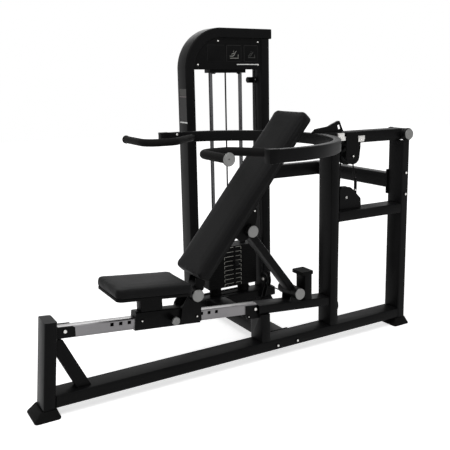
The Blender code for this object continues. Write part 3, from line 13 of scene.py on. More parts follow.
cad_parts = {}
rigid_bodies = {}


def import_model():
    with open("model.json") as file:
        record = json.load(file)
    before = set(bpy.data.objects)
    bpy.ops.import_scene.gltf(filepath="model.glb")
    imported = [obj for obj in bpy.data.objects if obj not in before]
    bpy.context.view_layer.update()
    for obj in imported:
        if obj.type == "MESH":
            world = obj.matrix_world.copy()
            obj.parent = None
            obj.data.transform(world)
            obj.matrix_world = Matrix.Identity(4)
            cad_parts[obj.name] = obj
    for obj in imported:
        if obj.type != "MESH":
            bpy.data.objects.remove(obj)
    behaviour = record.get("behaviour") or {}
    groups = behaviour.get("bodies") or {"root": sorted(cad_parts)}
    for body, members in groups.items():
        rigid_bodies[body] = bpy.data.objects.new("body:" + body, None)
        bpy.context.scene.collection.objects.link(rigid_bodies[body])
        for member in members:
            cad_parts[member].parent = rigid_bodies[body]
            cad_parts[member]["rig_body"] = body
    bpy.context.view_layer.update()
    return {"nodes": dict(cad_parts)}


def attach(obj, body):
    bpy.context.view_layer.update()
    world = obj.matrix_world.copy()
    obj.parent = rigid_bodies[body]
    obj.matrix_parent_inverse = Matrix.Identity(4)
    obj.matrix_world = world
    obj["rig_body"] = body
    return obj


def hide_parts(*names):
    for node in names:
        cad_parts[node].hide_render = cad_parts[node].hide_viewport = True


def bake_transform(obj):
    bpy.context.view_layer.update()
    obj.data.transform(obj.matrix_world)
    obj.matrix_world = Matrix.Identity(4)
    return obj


LOG = logging.getLogger("press_machine")
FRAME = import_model()
ORIGIN = Vector((-1.7540875, -0.138, 0.045))
X_AXIS, Y_AXIS, Z_AXIS = Vector((1, 0, 0)), Vector((0, 1, 0)), Vector((0, 0, 1))
GAP = 0.0003
Profile = list[tuple[float, float]]
Place = tuple[float, float, float]
Colour = tuple[float, float, float]
Head = tuple[float, float, float, float, float]
Socket = bpy.types.NodeSocket
Piece = bpy.types.Object
BMesh = bmesh.types.BMesh

SEAT_RAIL_SLOPE = -0.0865
SEAT_RAIL_START = 1.125
SEAT_RAIL_LOW = 0.2805
HOLE_FIRST = 1.008
HOLE_PITCH = 0.0431
HOLE_RISE = 0.0395
TOWER_MIDDLE = 0.800
TOWER_DEEP = 0.120
STACK_X = 2.114
CABLE_R = 0.004
GUIDE_PULLEY: Place = (2.430, 0.0, 0.791)
ARM_PULLEY: Place = (2.442, 0.0, 1.031)
TOWER_PULLEY: Place = (2.333, 0.693, 0.146)
BASE_PULLEY: Place = (2.385, 0.0408, 0.146)

CLOUD_SCALE, FLECK_SCALE = 7.0, 90.0
CLOUD_SPAN, FLECK_SPAN = (0.35, 0.65), (0.66, 0.80)
DUST_LIFT, DUST_GREY = 1.25, 0.006
BUMP_DEPTH = 0.0006


def at(x: float, y: float, z: float) -> Vector:
    """Point in the row frame from the machine's own stations."""
    return ORIGIN + Vector((x, y, z))


def rail_under(x: float) -> float:
    """Height of the seat rail's underside at a station."""
    return SEAT_RAIL_LOW + SEAT_RAIL_SLOPE * (x - SEAT_RAIL_START)


class Surface(Enum):
    """Kinds of surface texture that a finish can have."""

    PAINT = "paint"
    BRUSHED = "brushed"
    POLISHED = "polished"
    CAST = "cast"
    RUBBER = "rubber"
    FOAM = "foam"
    VINYL = "vinyl"
    STRAND = "strand"


@dataclass(frozen=True)
class Finish:
    """One procedural finish: colour, gloss, and the grain that its surface kind gives it."""

    name: str
    surface: Surface
    colour: Colour
    roughness: float
    metallic: float = 0.0
    specular: float = 0.5
    grain: float = 500.0
    bump: float = 0.05
    spread: float = 0.06
    shade: float = 0.15
    along: Place = (1.0, 1.0, 1.0)

    def material(self) -> bpy.types.Material:
        """The finish as a material, made once.

        Returns:
            The shared material of this finish.
        """
        known = bpy.data.materials.get(self.name)
        if known is not None:
            return known
        material = bpy.data.materials.new(self.name)
        material.use_nodes = True
        graph = Graph(material)
        shader = graph.shader
        shader.inputs["Metallic"].default_value = self.metallic
        shader.inputs["Specular IOR Level"].default_value = self.specular
        if self.surface is Surface.VINYL:
            shader.inputs["Sheen Weight"].default_value = 0.015
            shader.inputs["Sheen Roughness"].default_value = 0.5
        coords = graph.node("ShaderNodeTexCoord").outputs["Object"]
        stretch = graph.node("ShaderNodeMapping")
        stretch.inputs["Scale"].default_value = self.along
        graph.link(coords, stretch.inputs["Vector"])
        placed = stretch.outputs["Vector"]
        cloud = graph.noise(coords, CLOUD_SCALE, 4.0, 0.6)
        fleck = graph.noise(coords, FLECK_SCALE, 3.0, 0.7)
        dark = tuple(c * (1 - self.shade) for c in self.colour)
        light = tuple(min(1.0, c * (1 + self.shade)) for c in self.colour)
        base = graph.mix(cloud, CLOUD_SPAN, dark, light)
        specks = graph.ramp(fleck, *FLECK_SPAN)
        dust = tuple(min(1.0, c * DUST_LIFT + DUST_GREY * (1 - self.metallic)) for c in self.colour)
        base = graph.mix(specks, (0.0, 1.0), base, dust)
        graph.link(base, shader.inputs["Base Color"])
        fine = self.fine(graph, placed, coords)
        blend = graph.sum_of(fine, 0.5, cloud, 0.5)
        low, high = max(0.02, self.roughness - self.spread), min(1.0, self.roughness + self.spread)
        graph.link(graph.spread(blend, 0.3, 0.7, low, high), shader.inputs["Roughness"])
        bump = graph.node("ShaderNodeBump")
        bump.inputs["Strength"].default_value = self.bump
        bump.inputs["Distance"].default_value = BUMP_DEPTH
        graph.link(fine, bump.inputs["Height"])
        graph.link(bump.outputs["Normal"], shader.inputs["Normal"])
        return material

    def fine(self, graph: "Graph", placed: Socket, coords: Socket) -> Socket:
        """Fine height pattern of the surface kind.

        Args:
            graph: node builder of the material.
            placed: object coordinates, stretched along the grain.
            coords: plain object coordinates.

        Returns:
            A height between about 0 and 1.
        """
        if self.surface is Surface.VINYL:
            cells = graph.node("ShaderNodeTexVoronoi")
            cells.feature = "DISTANCE_TO_EDGE"
            cells.inputs["Scale"].default_value = self.grain
            graph.link(placed, cells.inputs["Vector"])
            edge = graph.spread(cells.outputs["Distance"], 0.0, 0.12, 0.0, 1.0)
            return graph.sum_of(edge, 0.7, graph.noise(placed, self.grain * 2.5, 3.0, 0.6), 0.3)
        if self.surface is Surface.STRAND:
            wave = graph.node("ShaderNodeTexWave")
            wave.bands_direction = "DIAGONAL"
            wave.inputs["Scale"].default_value = self.grain
            wave.inputs["Distortion"].default_value = 0.6
            graph.link(placed, wave.inputs["Vector"])
            return wave.outputs["Fac"]
        if self.surface is Surface.CAST:
            rough = graph.noise(placed, self.grain, 6.0, 0.7)
            return graph.sum_of(rough, 0.7, graph.noise(coords, self.grain * 0.2, 2.0, 0.5), 0.3)
        if self.surface is Surface.BRUSHED:
            hair = graph.noise(placed, self.grain, 2.0, 0.5)
            return graph.sum_of(hair, 0.8, graph.noise(coords, 30.0, 4.0, 0.7), 0.2)
        return graph.noise(placed, self.grain, 3.0, 0.55)


class Graph:
    """Short-hand builder for one material's nodes."""

    def __init__(self, material: bpy.types.Material) -> None:
        """Starts from the material's own shader."""
        self.tree = material.node_tree
        self.shader = self.tree.nodes["Principled BSDF"]

    def node(self, kind: str) -> bpy.types.Node:
        """A new node of a kind."""
        return self.tree.nodes.new(kind)

    def link(self, source: Socket, target: Socket) -> None:
        """Joins two sockets."""
        self.tree.links.new(source, target)

    def noise(self, coords: Socket, scale: float, detail: float, rough: float) -> Socket:
        """Noise of a scale over the coordinates."""
        node = self.node("ShaderNodeTexNoise")
        node.inputs["Scale"].default_value = scale
        node.inputs["Detail"].default_value = detail
        node.inputs["Roughness"].default_value = rough
        self.link(coords, node.inputs["Vector"])
        return node.outputs["Fac"]

    def math(self, operation: str, first: Socket, second: object) -> Socket:
        """Sum or product of a socket and a socket or number."""
        node = self.node("ShaderNodeMath")
        node.operation = operation
        self.link(first, node.inputs[0])
        if isinstance(second, (int, float)):
            node.inputs[1].default_value = second
        else:
            self.link(second, node.inputs[1])
        return node.outputs[0]

    def sum_of(self, first: Socket, share: float, second: Socket, rest: float) -> Socket:
        """Weighted sum of two sockets."""
        return self.math("ADD", self.math("MULTIPLY", first, share), self.math("MULTIPLY", second, rest))

    def spread(self, value: Socket, a: float, b: float, c: float, d: float) -> Socket:
        """Value mapped from the range a to b onto c to d."""
        node = self.node("ShaderNodeMapRange")
        self.link(value, node.inputs["Value"])
        for key, number in (("From Min", a), ("From Max", b), ("To Min", c), ("To Max", d)):
            node.inputs[key].default_value = number
        return node.outputs["Result"]

    def ramp(self, value: Socket, low: float, high: float) -> Socket:
        """Value as 0 below low and 1 above high."""
        return self.spread(value, low, high, 0.0, 1.0)

    def mix(self, factor: Socket, span: tuple[float, float], first: object, second: object) -> Socket:
        """Colour mixed by a factor over a span.

        Args:
            factor: what drives the mix.
            span: the factor's values at the first and second colour.
            first: a colour or colour socket.
            second: a colour or colour socket.

        Returns:
            The mixed colour.
        """
        node = self.node("ShaderNodeMix")
        node.data_type = "RGBA"
        self.link(self.ramp(factor, *span), node.inputs["Factor"])
        for key, colour in (("A", first), ("B", second)):
            socket = next(s for s in node.inputs if s.name == key and s.type == "RGBA")
            if isinstance(colour, tuple):
                socket.default_value = (*colour, 1.0)
            else:
                self.link(colour, socket)
        return next(s for s in node.outputs if s.type == "RGBA")


def printed(name: str, colour: Colour, roughness: float, shade: float, grain: float = 260.0) -> Finish:
    """Finish of a plain print or label."""
    return Finish(name, Surface.CAST, colour, roughness, specular=0.10, grain=grain, bump=0.03,
                  spread=0.05, shade=shade)


@dataclass(frozen=True)
class Palette:
    """All finishes of the machine."""

    paint: Finish = Finish("black_powder_coat", Surface.PAINT, (0.0042, 0.0042, 0.0044), 0.40,
                           specular=0.055, grain=900.0, bump=0.10, spread=0.07, shade=0.18)
    plate_paint: Finish = Finish("black_plate_paint", Surface.PAINT, (0.0034, 0.0034, 0.0035), 0.48,
                                 specular=0.05, grain=700.0, bump=0.12, spread=0.06, shade=0.18)
    rail: Finish = Finish("satin_rail", Surface.BRUSHED, (0.195, 0.190, 0.195), 0.42, metallic=0.85,
                          grain=60.0, bump=0.05, spread=0.06, shade=0.05, along=(1.0, 25.0, 25.0))
    # Lighter, shinier copy of the rail finish for the rail's top face: a painted highlight.
    rail_top_painted_highlight: Finish = Finish("rail_top_painted_highlight", Surface.BRUSHED, (0.36, 0.355, 0.355), 0.30, metallic=1.0,
                              grain=60.0, bump=0.05, spread=0.06, shade=0.05, along=(1.0, 25.0, 25.0))
    white: Finish = printed("white_rule", (0.90, 0.90, 0.88), 0.5, 0.06)
    cap: Finish = Finish("machined_cap", Surface.BRUSHED, (0.200, 0.200, 0.196), 0.46, metallic=0.75,
                         grain=260.0, bump=0.06, spread=0.06, shade=0.08, along=(1.0, 0.2, 1.0))
    zinc: Finish = Finish("zinc_fastener", Surface.POLISHED, (0.60, 0.59, 0.57), 0.30, metallic=0.9,
                          grain=300.0, bump=0.04, spread=0.08, shade=0.08)
    chrome: Finish = Finish("guide_rod_steel", Surface.POLISHED, (0.085, 0.085, 0.088), 0.24, metallic=1.0,
                            grain=220.0, bump=0.02, spread=0.05, shade=0.10, along=(1.0, 1.0, 0.05))
    cast: Finish = Finish("stack_plate", Surface.CAST, (0.0042, 0.0042, 0.0043), 0.50,
                          specular=0.05, grain=420.0, bump=0.18, spread=0.08, shade=0.2)
    rubber: Finish = Finish("moulded_rubber", Surface.RUBBER, (0.0048, 0.0048, 0.0048), 0.66, specular=0.05,
                            grain=800.0, bump=0.15, spread=0.08, shade=0.2)
    foam: Finish = Finish("closed_cell_foam", Surface.FOAM, (0.0072, 0.0070, 0.0070), 0.72, specular=0.045,
                          grain=1400.0, bump=0.12, spread=0.08, shade=0.2)
    vinyl: Finish = Finish("pad_vinyl", Surface.VINYL, (0.0058, 0.0058, 0.0060), 0.52, specular=0.06,
                           grain=650.0, bump=0.16, spread=0.06, shade=0.10)
    board: Finish = Finish("pad_board", Surface.CAST, (0.0045, 0.0045, 0.0045), 0.62, specular=0.05,
                           grain=260.0, bump=0.10, spread=0.06, shade=0.2)
    nylon: Finish = Finish("pulley_nylon", Surface.RUBBER, (0.0045, 0.0045, 0.0047), 0.42, specular=0.08,
                           grain=500.0, bump=0.06, spread=0.06, shade=0.15)
    cable: Finish = Finish("coated_cable", Surface.STRAND, (0.0036, 0.0036, 0.0036), 0.42, specular=0.08,
                           grain=260.0, bump=0.12, spread=0.06, shade=0.12)
    # Light strips on the stack plates' edges, standing in for painted highlights.
    mark: Finish = Finish("stack_edge_highlight_paint", Surface.CAST, (0.42, 0.42, 0.38), 0.55, specular=0.10,
                          grain=300.0, bump=0.06, spread=0.05, shade=0.25)
    placard: Finish = printed("placard_print", (0.36, 0.36, 0.33), 0.5, 0.2)
    rim: Finish = printed("field_rim", (0.010, 0.010, 0.010), 0.46, 0.12)
    faint: Finish = printed("faint_print", (0.075, 0.075, 0.072), 0.5, 0.2)
    strip_top: Finish = printed("strip_top", (0.075, 0.073, 0.070), 0.46, 0.12, 200.0)
    thin_rule: Finish = printed("thin_rule", (0.30, 0.25, 0.26), 0.5, 0.1)
    sticker: Finish = printed("column_sticker", (0.028, 0.027, 0.027), 0.46, 0.12, 200.0)


PALETTE = Palette()


class Workshop:
    """Mesh operations shared by the sub-assemblies."""

    @staticmethod
    def finish(bm: BMesh, name: str, finish: Finish, body: str, slot: str,
               replaces: tuple[str, ...] = (), sharp: float = 35.0, tidy: bool = True) -> Piece:
        """Turns a bmesh into a dressed piece that rides on a body.

        Args:
            bm: the mesh, freed here.
            name: the piece's name.
            finish: its finish.
            body: the body it rides on, or nothing for a piece that rides on none.
            slot: the record's material slot; not used.
            replaces: CAD nodes that it stands for.
            sharp: angle in degrees past which an edge stays sharp.
            tidy: whether doubles are merged and faces turned outwards.

        Returns:
            The new object.
        """
        if tidy:
            bmesh.ops.remove_doubles(bm, verts=bm.verts, dist=1e-6)
            bmesh.ops.recalc_face_normals(bm, faces=bm.faces)
        mesh = bpy.data.meshes.new(name)
        bm.to_mesh(mesh)
        bm.free()
        mesh.polygons.foreach_set("use_smooth", [True] * len(mesh.polygons))
        mesh.set_sharp_from_angle(angle=math.radians(sharp))
        piece = bpy.data.objects.new(name, mesh)
        bpy.context.scene.collection.objects.link(piece)
        mesh.materials.append(finish.material())
        if body:
            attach(piece, body)
        if replaces:
            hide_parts(*replaces)
        LOG.info("piece %s on %s, %d faces", name, body, len(mesh.polygons))
        return piece

    @staticmethod
    def spun(profile: Profile, centre: Vector, axis: Vector, steps: int = 48, closed: bool = False) -> BMesh:
        """Turned shape from pairs of radius and height.

        Args:
            profile: radius and height along the axis.
            centre: where the axis starts.
            axis: its direction.
            steps: sides round the axis.
            closed: whether the profile joins up, as for a ring.

        Returns:
            The turned mesh.
        """
        bm = bmesh.new()
        verts = [bm.verts.new((r, 0, z)) for r, z in profile]
        pairs = list(zip(verts, verts[1:])) + ([(verts[-1], verts[0])] if closed else [])
        edges = [bm.edges.new(pair) for pair in pairs]
        bmesh.ops.spin(bm, geom=verts + edges, cent=(0, 0, 0), axis=(0, 0, 1), angle=2 * math.pi,
                       steps=steps, use_merge=True)
        bmesh.ops.remove_doubles(bm, verts=bm.verts, dist=1e-6)
        turn = Vector((0, 0, 1)).rotation_difference(axis.normalized()).to_matrix().to_4x4()
        bmesh.ops.transform(bm, matrix=Matrix.Translation(centre) @ turn, verts=bm.verts)
        bmesh.ops.recalc_face_normals(bm, faces=bm.faces)
        return bm

    @staticmethod
    def block(low: Vector, high: Vector, ease: float = 0.001, segments: int = 2) -> BMesh:
        """Box between two corners with eased edges."""
        bm = bmesh.new()
        bmesh.ops.create_cube(bm, size=1.0)
        bmesh.ops.scale(bm, vec=high - low, verts=bm.verts)
        bmesh.ops.translate(bm, vec=(low + high) / 2, verts=bm.verts)
        bmesh.ops.bevel(bm, geom=list(bm.edges), offset=ease, segments=segments, profile=0.5,
                        affect="EDGES", material=-1)
        return bm

    @staticmethod
    def swept(path: list[Vector], section: Profile, side: Vector) -> BMesh:
        """Section drawn along a path, with both ends closed.

        Args:
            path: points along the middle.
            section: the outline, across and up.
            side: the direction that up stays nearest to.

        Returns:
            The swept mesh.
        """
        bm = bmesh.new()
        place = None
        ring: list[bmesh.types.BMEdge] = []
        for i, point in enumerate(path):
            ahead = path[min(i + 1, len(path) - 1)] - path[max(i - 1, 0)]
            forward = ahead.normalized()
            across = forward.cross(side).normalized()
            up = across.cross(forward)
            here = Matrix.Translation(point) @ Matrix((across, up, forward)).transposed().to_4x4()
            if place is None:
                verts = [bm.verts.new(here @ Vector((a, b, 0))) for a, b in section]
                ring = [bm.edges.new((verts[k], verts[(k + 1) % len(verts)])) for k in range(len(verts))]
                bmesh.ops.contextual_create(bm, geom=ring)
            else:
                made = bmesh.ops.extrude_edge_only(bm, edges=ring)["geom"]
                verts = [g for g in made if isinstance(g, bmesh.types.BMVert)]
                ring = [g for g in made if isinstance(g, bmesh.types.BMEdge)]
                bmesh.ops.transform(bm, matrix=here @ place.inverted(), verts=verts)
            place = here
        bmesh.ops.contextual_create(bm, geom=ring)
        bmesh.ops.recalc_face_normals(bm, faces=bm.faces)
        return bm

    @staticmethod
    def strip(bm: BMesh, low: Vector, high: Vector, turn: float = 0.0) -> None:
        """Adds a thin plain bar to a mesh.

        Args:
            bm: the mesh.
            low: its lowest corner.
            high: its highest corner.
            turn: angle in degrees about its middle, in the panel's plane.
        """
        made = bmesh.ops.create_cube(bm, size=1.0)["verts"]
        bmesh.ops.scale(bm, vec=high - low, verts=made)
        bmesh.ops.rotate(bm, cent=(0, 0, 0), matrix=Matrix.Rotation(math.radians(turn), 3, "Y"), verts=made)
        bmesh.ops.translate(bm, vec=(low + high) / 2, verts=made)

    @staticmethod
    def joined(parts: list[BMesh]) -> BMesh:
        """One mesh from several, which are freed."""
        whole = bmesh.new()
        for part in parts:
            mesh = bpy.data.meshes.new("part")
            part.to_mesh(mesh)
            part.free()
            whole.from_mesh(mesh)
            bpy.data.meshes.remove(mesh)
        return whole

    @staticmethod
    def bake(piece: Piece) -> None:
        """Applies every modifier of a piece."""
        graph = bpy.context.evaluated_depsgraph_get()
        mesh = bpy.data.meshes.new_from_object(piece.evaluated_get(graph))
        old = piece.data
        name = old.name
        piece.modifiers.clear()
        piece.data = mesh
        bpy.data.meshes.remove(old)
        mesh.name = name

    @staticmethod
    def circle(radius: float, steps: int = 28) -> Profile:
        """Round section."""
        turns = [2 * math.pi * k / steps for k in range(steps)]
        return [(radius * math.cos(t), radius * math.sin(t)) for t in turns]

    @staticmethod
    def rect(wide: float, tall: float, corner: float, steps: int = 4) -> Profile:
        """Rounded rectangular section."""
        out = []
        for sx, sy, start in ((1, 1, 0), (-1, 1, 90), (-1, -1, 180), (1, -1, 270)):
            cx, cy = sx * (wide / 2 - corner), sy * (tall / 2 - corner)
            for k in range(steps + 1):
                t = math.radians(start + 90 * k / steps)
                out.append((cx + corner * math.cos(t), cy + corner * math.sin(t)))
        return out

    @staticmethod
    def fillet(points: list[Vector], radii: list[float], steps: int = 12) -> list[Vector]:
        """Path with its corners rounded.

        Args:
            points: the corners.
            radii: one radius for each corner; 0 keeps it.
            steps: points on each arc.

        Returns:
            The rounded path.
        """
        out = []
        for i, p in enumerate(points):
            if radii[i] <= 0 or i in (0, len(points) - 1):
                out.append(p.copy())
                continue
            a, b = (points[i - 1] - p).normalized(), (points[i + 1] - p).normalized()
            half = a.angle(b) / 2
            centre = p + (a + b).normalized() * (radii[i] / math.sin(half))
            reach = radii[i] / math.tan(half)
            v0, v1 = p + a * reach - centre, p + b * reach - centre
            out += [centre + v0.slerp(v1, k / steps) * radii[i] for k in range(steps + 1)]
        return out

    @staticmethod
    def merged(node: str) -> BMesh:
        """Copy of a CAD node with its loose triangles joined and flat areas made whole."""
        bm = bmesh.new()
        bm.from_mesh(FRAME["nodes"][node].data)
        bmesh.ops.remove_doubles(bm, verts=bm.verts, dist=2e-6)
        bmesh.ops.dissolve_limit(bm, angle_limit=math.radians(0.6), verts=bm.verts, edges=bm.edges,
                                 use_dissolve_boundaries=False)
        return bm

    @classmethod
    def refined(cls, node: str, finish: Finish, body: str, slot: str, ease: float = 0.0009,
                sharp: float = 33.0) -> Piece:
        """Copy of a CAD node with eased edges and smooth rounds, in its place.

        Args:
            node: the CAD node.
            finish: its finish.
            body: the body it belongs to.
            slot: the record's material slot.
            ease: width of the eased edges.
            sharp: angle past which an edge is eased.

        Returns:
            The refined piece.
        """
        piece = cls.finish(cls.merged(node), node + "_dressed", finish, body, slot, (node,), sharp,
                           tidy=False)
        cls.eased(piece, ease, sharp)
        return piece

    @staticmethod
    def eased(piece: Piece, width: float, sharp: float, harden: bool = True) -> None:
        """Rounds a piece's sharp edges slightly.

        Args:
            piece: the piece.
            width: width of the eased edges.
            sharp: angle past which an edge is eased.
            harden: whether the flat faces stay flat in the light.
        """
        bevel = piece.modifiers.new("eased_edges", "BEVEL")
        bevel.width, bevel.segments = width, 2
        bevel.limit_method = "ANGLE"
        bevel.angle_limit = math.radians(sharp)
        bevel.harden_normals = harden

    @classmethod
    def carved(cls, piece: Piece, cutters: BMesh, name: str) -> None:
        """Cuts shapes out of a piece and applies the cut.

        Args:
            piece: the piece.
            cutters: what is cut out, freed here.
            name: name of the cut.
        """
        mesh = bpy.data.meshes.new(name)
        cutters.to_mesh(mesh)
        cutters.free()
        tool = bpy.data.objects.new(name, mesh)
        bpy.context.scene.collection.objects.link(tool)
        cut = piece.modifiers.new(name, "BOOLEAN")
        cut.operation, cut.solver, cut.object = "DIFFERENCE", "EXACT", tool
        cls.bake(piece)
        bpy.data.objects.remove(tool)

    @staticmethod
    def sheet(rim: list[Vector], thick: Vector) -> BMesh:
        """Plate with an outline and a thickness.

        Args:
            rim: points round one face.
            thick: way to the other face.

        Returns:
            The plate.
        """
        bm = bmesh.new()
        face = bmesh.ops.contextual_create(bm, geom=[bm.verts.new(p) for p in rim])["faces"]
        grown = bmesh.ops.extrude_face_region(bm, geom=face)["geom"]
        bmesh.ops.translate(bm, vec=thick, verts=[g for g in grown if isinstance(g, bmesh.types.BMVert)])
        return bm

    @classmethod
    def fastener(cls, centre: Vector, axis: Vector, radius: float, tall: float, body: str,
                 name: str) -> Piece:
        """Domed socket-head fastener with a washer.

        Args:
            centre: point on the face it stands on.
            axis: direction that it points.
            radius: head radius.
            tall: head height.
            body: body it rides on.
            name: piece name.

        Returns:
            The fastener.
        """
        socket, washer = radius * 0.42, radius * 1.18
        profile = [(0, 0), (washer, 0), (washer, tall * 0.16), (radius, tall * 0.18), (radius, tall * 0.55),
                   (radius * 0.93, tall * 0.78), (radius * 0.75, tall * 0.95), (socket * 1.15, tall),
                   (socket, tall * 0.95), (socket, tall * 0.5), (0, tall * 0.45)]
        return cls.finish(cls.spun(profile, centre, axis, 24), name, PALETTE.zinc, body, "satin_silver",
                          sharp=40)

    @classmethod
    def dome(cls, centre: Vector, axis: Vector, radius: float, body: str, name: str) -> Piece:
        """Small bright domed end of a bolt, standing on its black head."""
        profile = [(0, -0.0004), (radius, -0.0004), (radius, 0.0008), (radius * 0.90, 0.0017),
                   (radius * 0.60, 0.0025), (radius * 0.30, 0.0028), (0, 0.0029)]
        return cls.finish(cls.spun(profile, centre, axis, 24), name, PALETTE.zinc, body, "satin_silver",
                          sharp=60)

    @classmethod
    def head(cls, place: Head, side: float, body: str, name: str) -> None:
        """Bright end on a plain CAD head, from its station, half width, height, bright radius and rise."""
        x, y, z, radius, tall = place
        cls.dome(at(x, side * (y + tall), z), Y_AXIS * side, radius, body, name)

    @classmethod
    def heads(cls, places: tuple[Head, ...], body: str, name: str) -> None:
        """Fasteners on both sides of a part."""
        for k, place in enumerate(places):
            cls.head(place, -1.0, body, f"{name}_{k}_near")
            cls.head(place, 1.0, body, f"{name}_{k}_far")


@dataclass
class Group:
    """Pieces that mostly ride on one body."""

    body: str = "frame"

    def add(self, bm: BMesh, name: str, finish: Finish, slot: str, replaces: tuple[str, ...] = (),
            sharp: float = 35.0, tidy: bool = True) -> Piece:
        """Finishes a mesh as a piece on the group's own body."""
        return Workshop.finish(bm, name, finish, self.body, slot, replaces, sharp, tidy)

    def dress(self, nodes: tuple[str, ...], finish: Finish, slot: str, ease: float) -> None:
        """Refines CAD nodes that belong to the group's own body."""
        for node in nodes:
            Workshop.refined(node, finish, self.body, slot, ease)


@dataclass
class LongFrame(Group):
    """Near frame: base rail, posts, sloping rails, cross tubes and feet."""

    painted: tuple[str, ...] = (
        "base_rail", "front_post", "front_brace", "centre_post", "link_rail", "middle_post", "rear_post",
        "rear_mid_tube", "floor_cross_tube", "rear_cross_tube", "far_upper_tube", "guide_pulley_bracket",
    )
    rubbers: tuple[str, ...] = ("front_foot_boot", "rear_foot_boot", "stop_cap", "arm_rest_buffer")
    near_bolts: tuple[Head, ...] = (
        (1.925, 0.060, 0.026, 0.0062, 0.007), (2.056, 0.060, 0.026, 0.0062, 0.007),
        (2.848, 0.060, 0.904, 0.0072, 0.007), (2.848, 0.060, 0.775, 0.0072, 0.007),
    )
    through_bolts: tuple[Head, ...] = (
        (0.784, 0.0313, 0.348, 0.0084, 0.007), (1.800, 0.0313, 0.252, 0.0088, 0.007),
        (1.758, 0.0313, 0.2165, 0.0032, 0.005),
    )
    rail_half: float = 0.025
    rail_deep: float = 0.057
    rail_wall: float = 0.0026
    holes: int = 14
    hole: float = 0.0086
    cut_depth: float = 0.012
    sharp: float = 33.0
    sill: tuple[Place, Place] = ((2.8205, -0.0560, 1.0745), (2.8300, 0.0560, 1.0985))

    def build(self) -> None:
        """Dresses every piece of the near frame."""
        self.dress(self.painted, PALETTE.paint, "black_paint", 0.0012)
        self.dress(self.rubbers, PALETTE.rubber, "black_rubber", 0.0025)
        self.seat_rail()
        for k, head in enumerate(self.near_bolts):
            Workshop.head(head, -1.0, self.body, f"frame_bolt_{k}")
        Workshop.heads(self.through_bolts, self.body, "bracket_bolt")
        low, high = self.sill
        sill = Workshop.block(at(*low), at(*high), 0.0008)
        self.add(sill, "pivot_slot_sill", PALETTE.paint, "black_paint")
        self.axle_ends()

    def seat_rail(self) -> None:
        """Silver rail: square holes in both sides, its hollow painted black as painted shade, and its upward
        faces given a lighter, shinier copy of the rail finish as a painted highlight.
        """
        rail = self.add(Workshop.merged("seat_rail"), "seat_rail_dressed", PALETTE.rail, "satin_silver",
                        ("seat_rail",), self.sharp, tidy=False)
        lean = Matrix.Rotation(-math.atan(SEAT_RAIL_SLOPE), 3, "Y")
        cutters = bmesh.new()
        for x in (HOLE_FIRST + k * HOLE_PITCH for k in range(self.holes)):
            for side in (-1.0, 1.0):
                spot = at(x, side * self.rail_half, rail_under(x) + HOLE_RISE)
                made = bmesh.ops.create_cube(cutters, size=1.0)["verts"]
                bmesh.ops.scale(cutters, vec=(2 * self.hole, self.cut_depth, 2 * self.hole), verts=made)
                bmesh.ops.rotate(cutters, cent=(0, 0, 0), matrix=lean, verts=made)
                bmesh.ops.translate(cutters, vec=spot, verts=made)
        Workshop.carved(rail, cutters, "holes")
        rail.data.materials.clear()
        for finish in (PALETTE.rail, PALETTE.rail_top_painted_highlight, PALETTE.plate_paint):
            rail.data.materials.append(finish.material())
        for face in rail.data.polygons:
            # Faces inside the hollow get black paint as painted shade; upward faces get the painted highlight
            # finish.
            face.material_index = 2 if self.inside(face) else 1 if face.normal.z > 0.95 else 0
        rail.data.polygons.foreach_set("use_smooth", [True] * len(rail.data.polygons))
        rail.data.set_sharp_from_angle(angle=math.radians(self.sharp))

    def inside(self, face: bpy.types.MeshPolygon) -> bool:
        """Whether a face of the seat rail is inside its hollow."""
        spot = face.center - ORIGIN
        up = (spot.z - rail_under(spot.x)) * math.cos(math.atan(SEAT_RAIL_SLOPE))
        wall = self.rail_wall
        return abs(spot.y) < self.rail_half - wall and wall < up < self.rail_deep - wall

    def axle_ends(self) -> None:
        """Bright axle ends of the two floor pulleys and the guide pulley."""
        ends = [(GUIDE_PULLEY, -Y_AXIS, 0.0195, 0.0062)]
        for pulley in (TOWER_PULLEY, BASE_PULLEY):
            ends += [(pulley, -X_AXIS, 0.0175, 0.0085), (pulley, X_AXIS, 0.0175, 0.0085)]
        for k, (place, axis, reach, radius) in enumerate(ends):
            Workshop.fastener(at(*place) + axis * reach, axis, radius, 0.007, self.body, f"axle_end_{k}")


@dataclass
class Pivots:
    """Silver pivot caps with their shafts."""

    cap_radius: float = 0.031
    shaft_radius: float = 0.010
    thick: float = 0.008
    half: float = 0.082
    linked: tuple[float, float] = (1.759, 0.693)
    pins: tuple[tuple[str, str, float, float, float], ...] = (
        ("base_pivot_pin", "frame", 2.057, 0.302, 0.082), ("arm_pivot_pin", "frame", 2.845, 1.134, 0.078),
        ("seat_pivot_pin", "seat_carriage", 1.435, 0.409, 0.082),
    )

    def face(self, low: float) -> Profile:
        """Half profile of a cap from its inner face outwards."""
        r, high = self.cap_radius, low + self.thick
        return [(r - 0.0006, low), (r, low + 0.0006), (r, high - 0.0022), (r - 0.0008, high - 0.0008),
                (r - 0.0024, high), (r - 0.0060, high), (r - 0.0066, high - 0.0005),
                (r - 0.0074, high - 0.0005), (r - 0.0080, high), (0.0030, high),
                (0.0018, high - 0.0012), (0, high - 0.0014)]

    def build(self) -> None:
        """Makes the through pins and the two caps of the linked pivot."""
        for node, body, x, z, half in self.pins:
            far = [(self.shaft_radius, half + GAP)] + self.face(half + GAP)
            near = [(r, -h) for r, h in reversed(far)]
            Workshop.finish(Workshop.spun(near + far, at(x, 0, z), Y_AXIS, 64), node + "_turned", PALETTE.cap,
                            body, "satin_silver", (node,), sharp=28)
        low = self.half + GAP
        x, z = self.linked
        for node, side in (("back_pivot_cap_near", -1.0), ("back_pivot_cap_far", 1.0)):
            bm = Workshop.spun([(0, low)] + self.face(low), at(x, 0, z), Y_AXIS * side, 64)
            Workshop.finish(bm, node + "_turned", PALETTE.cap, "backrest", "satin_silver", (node,), sharp=28)


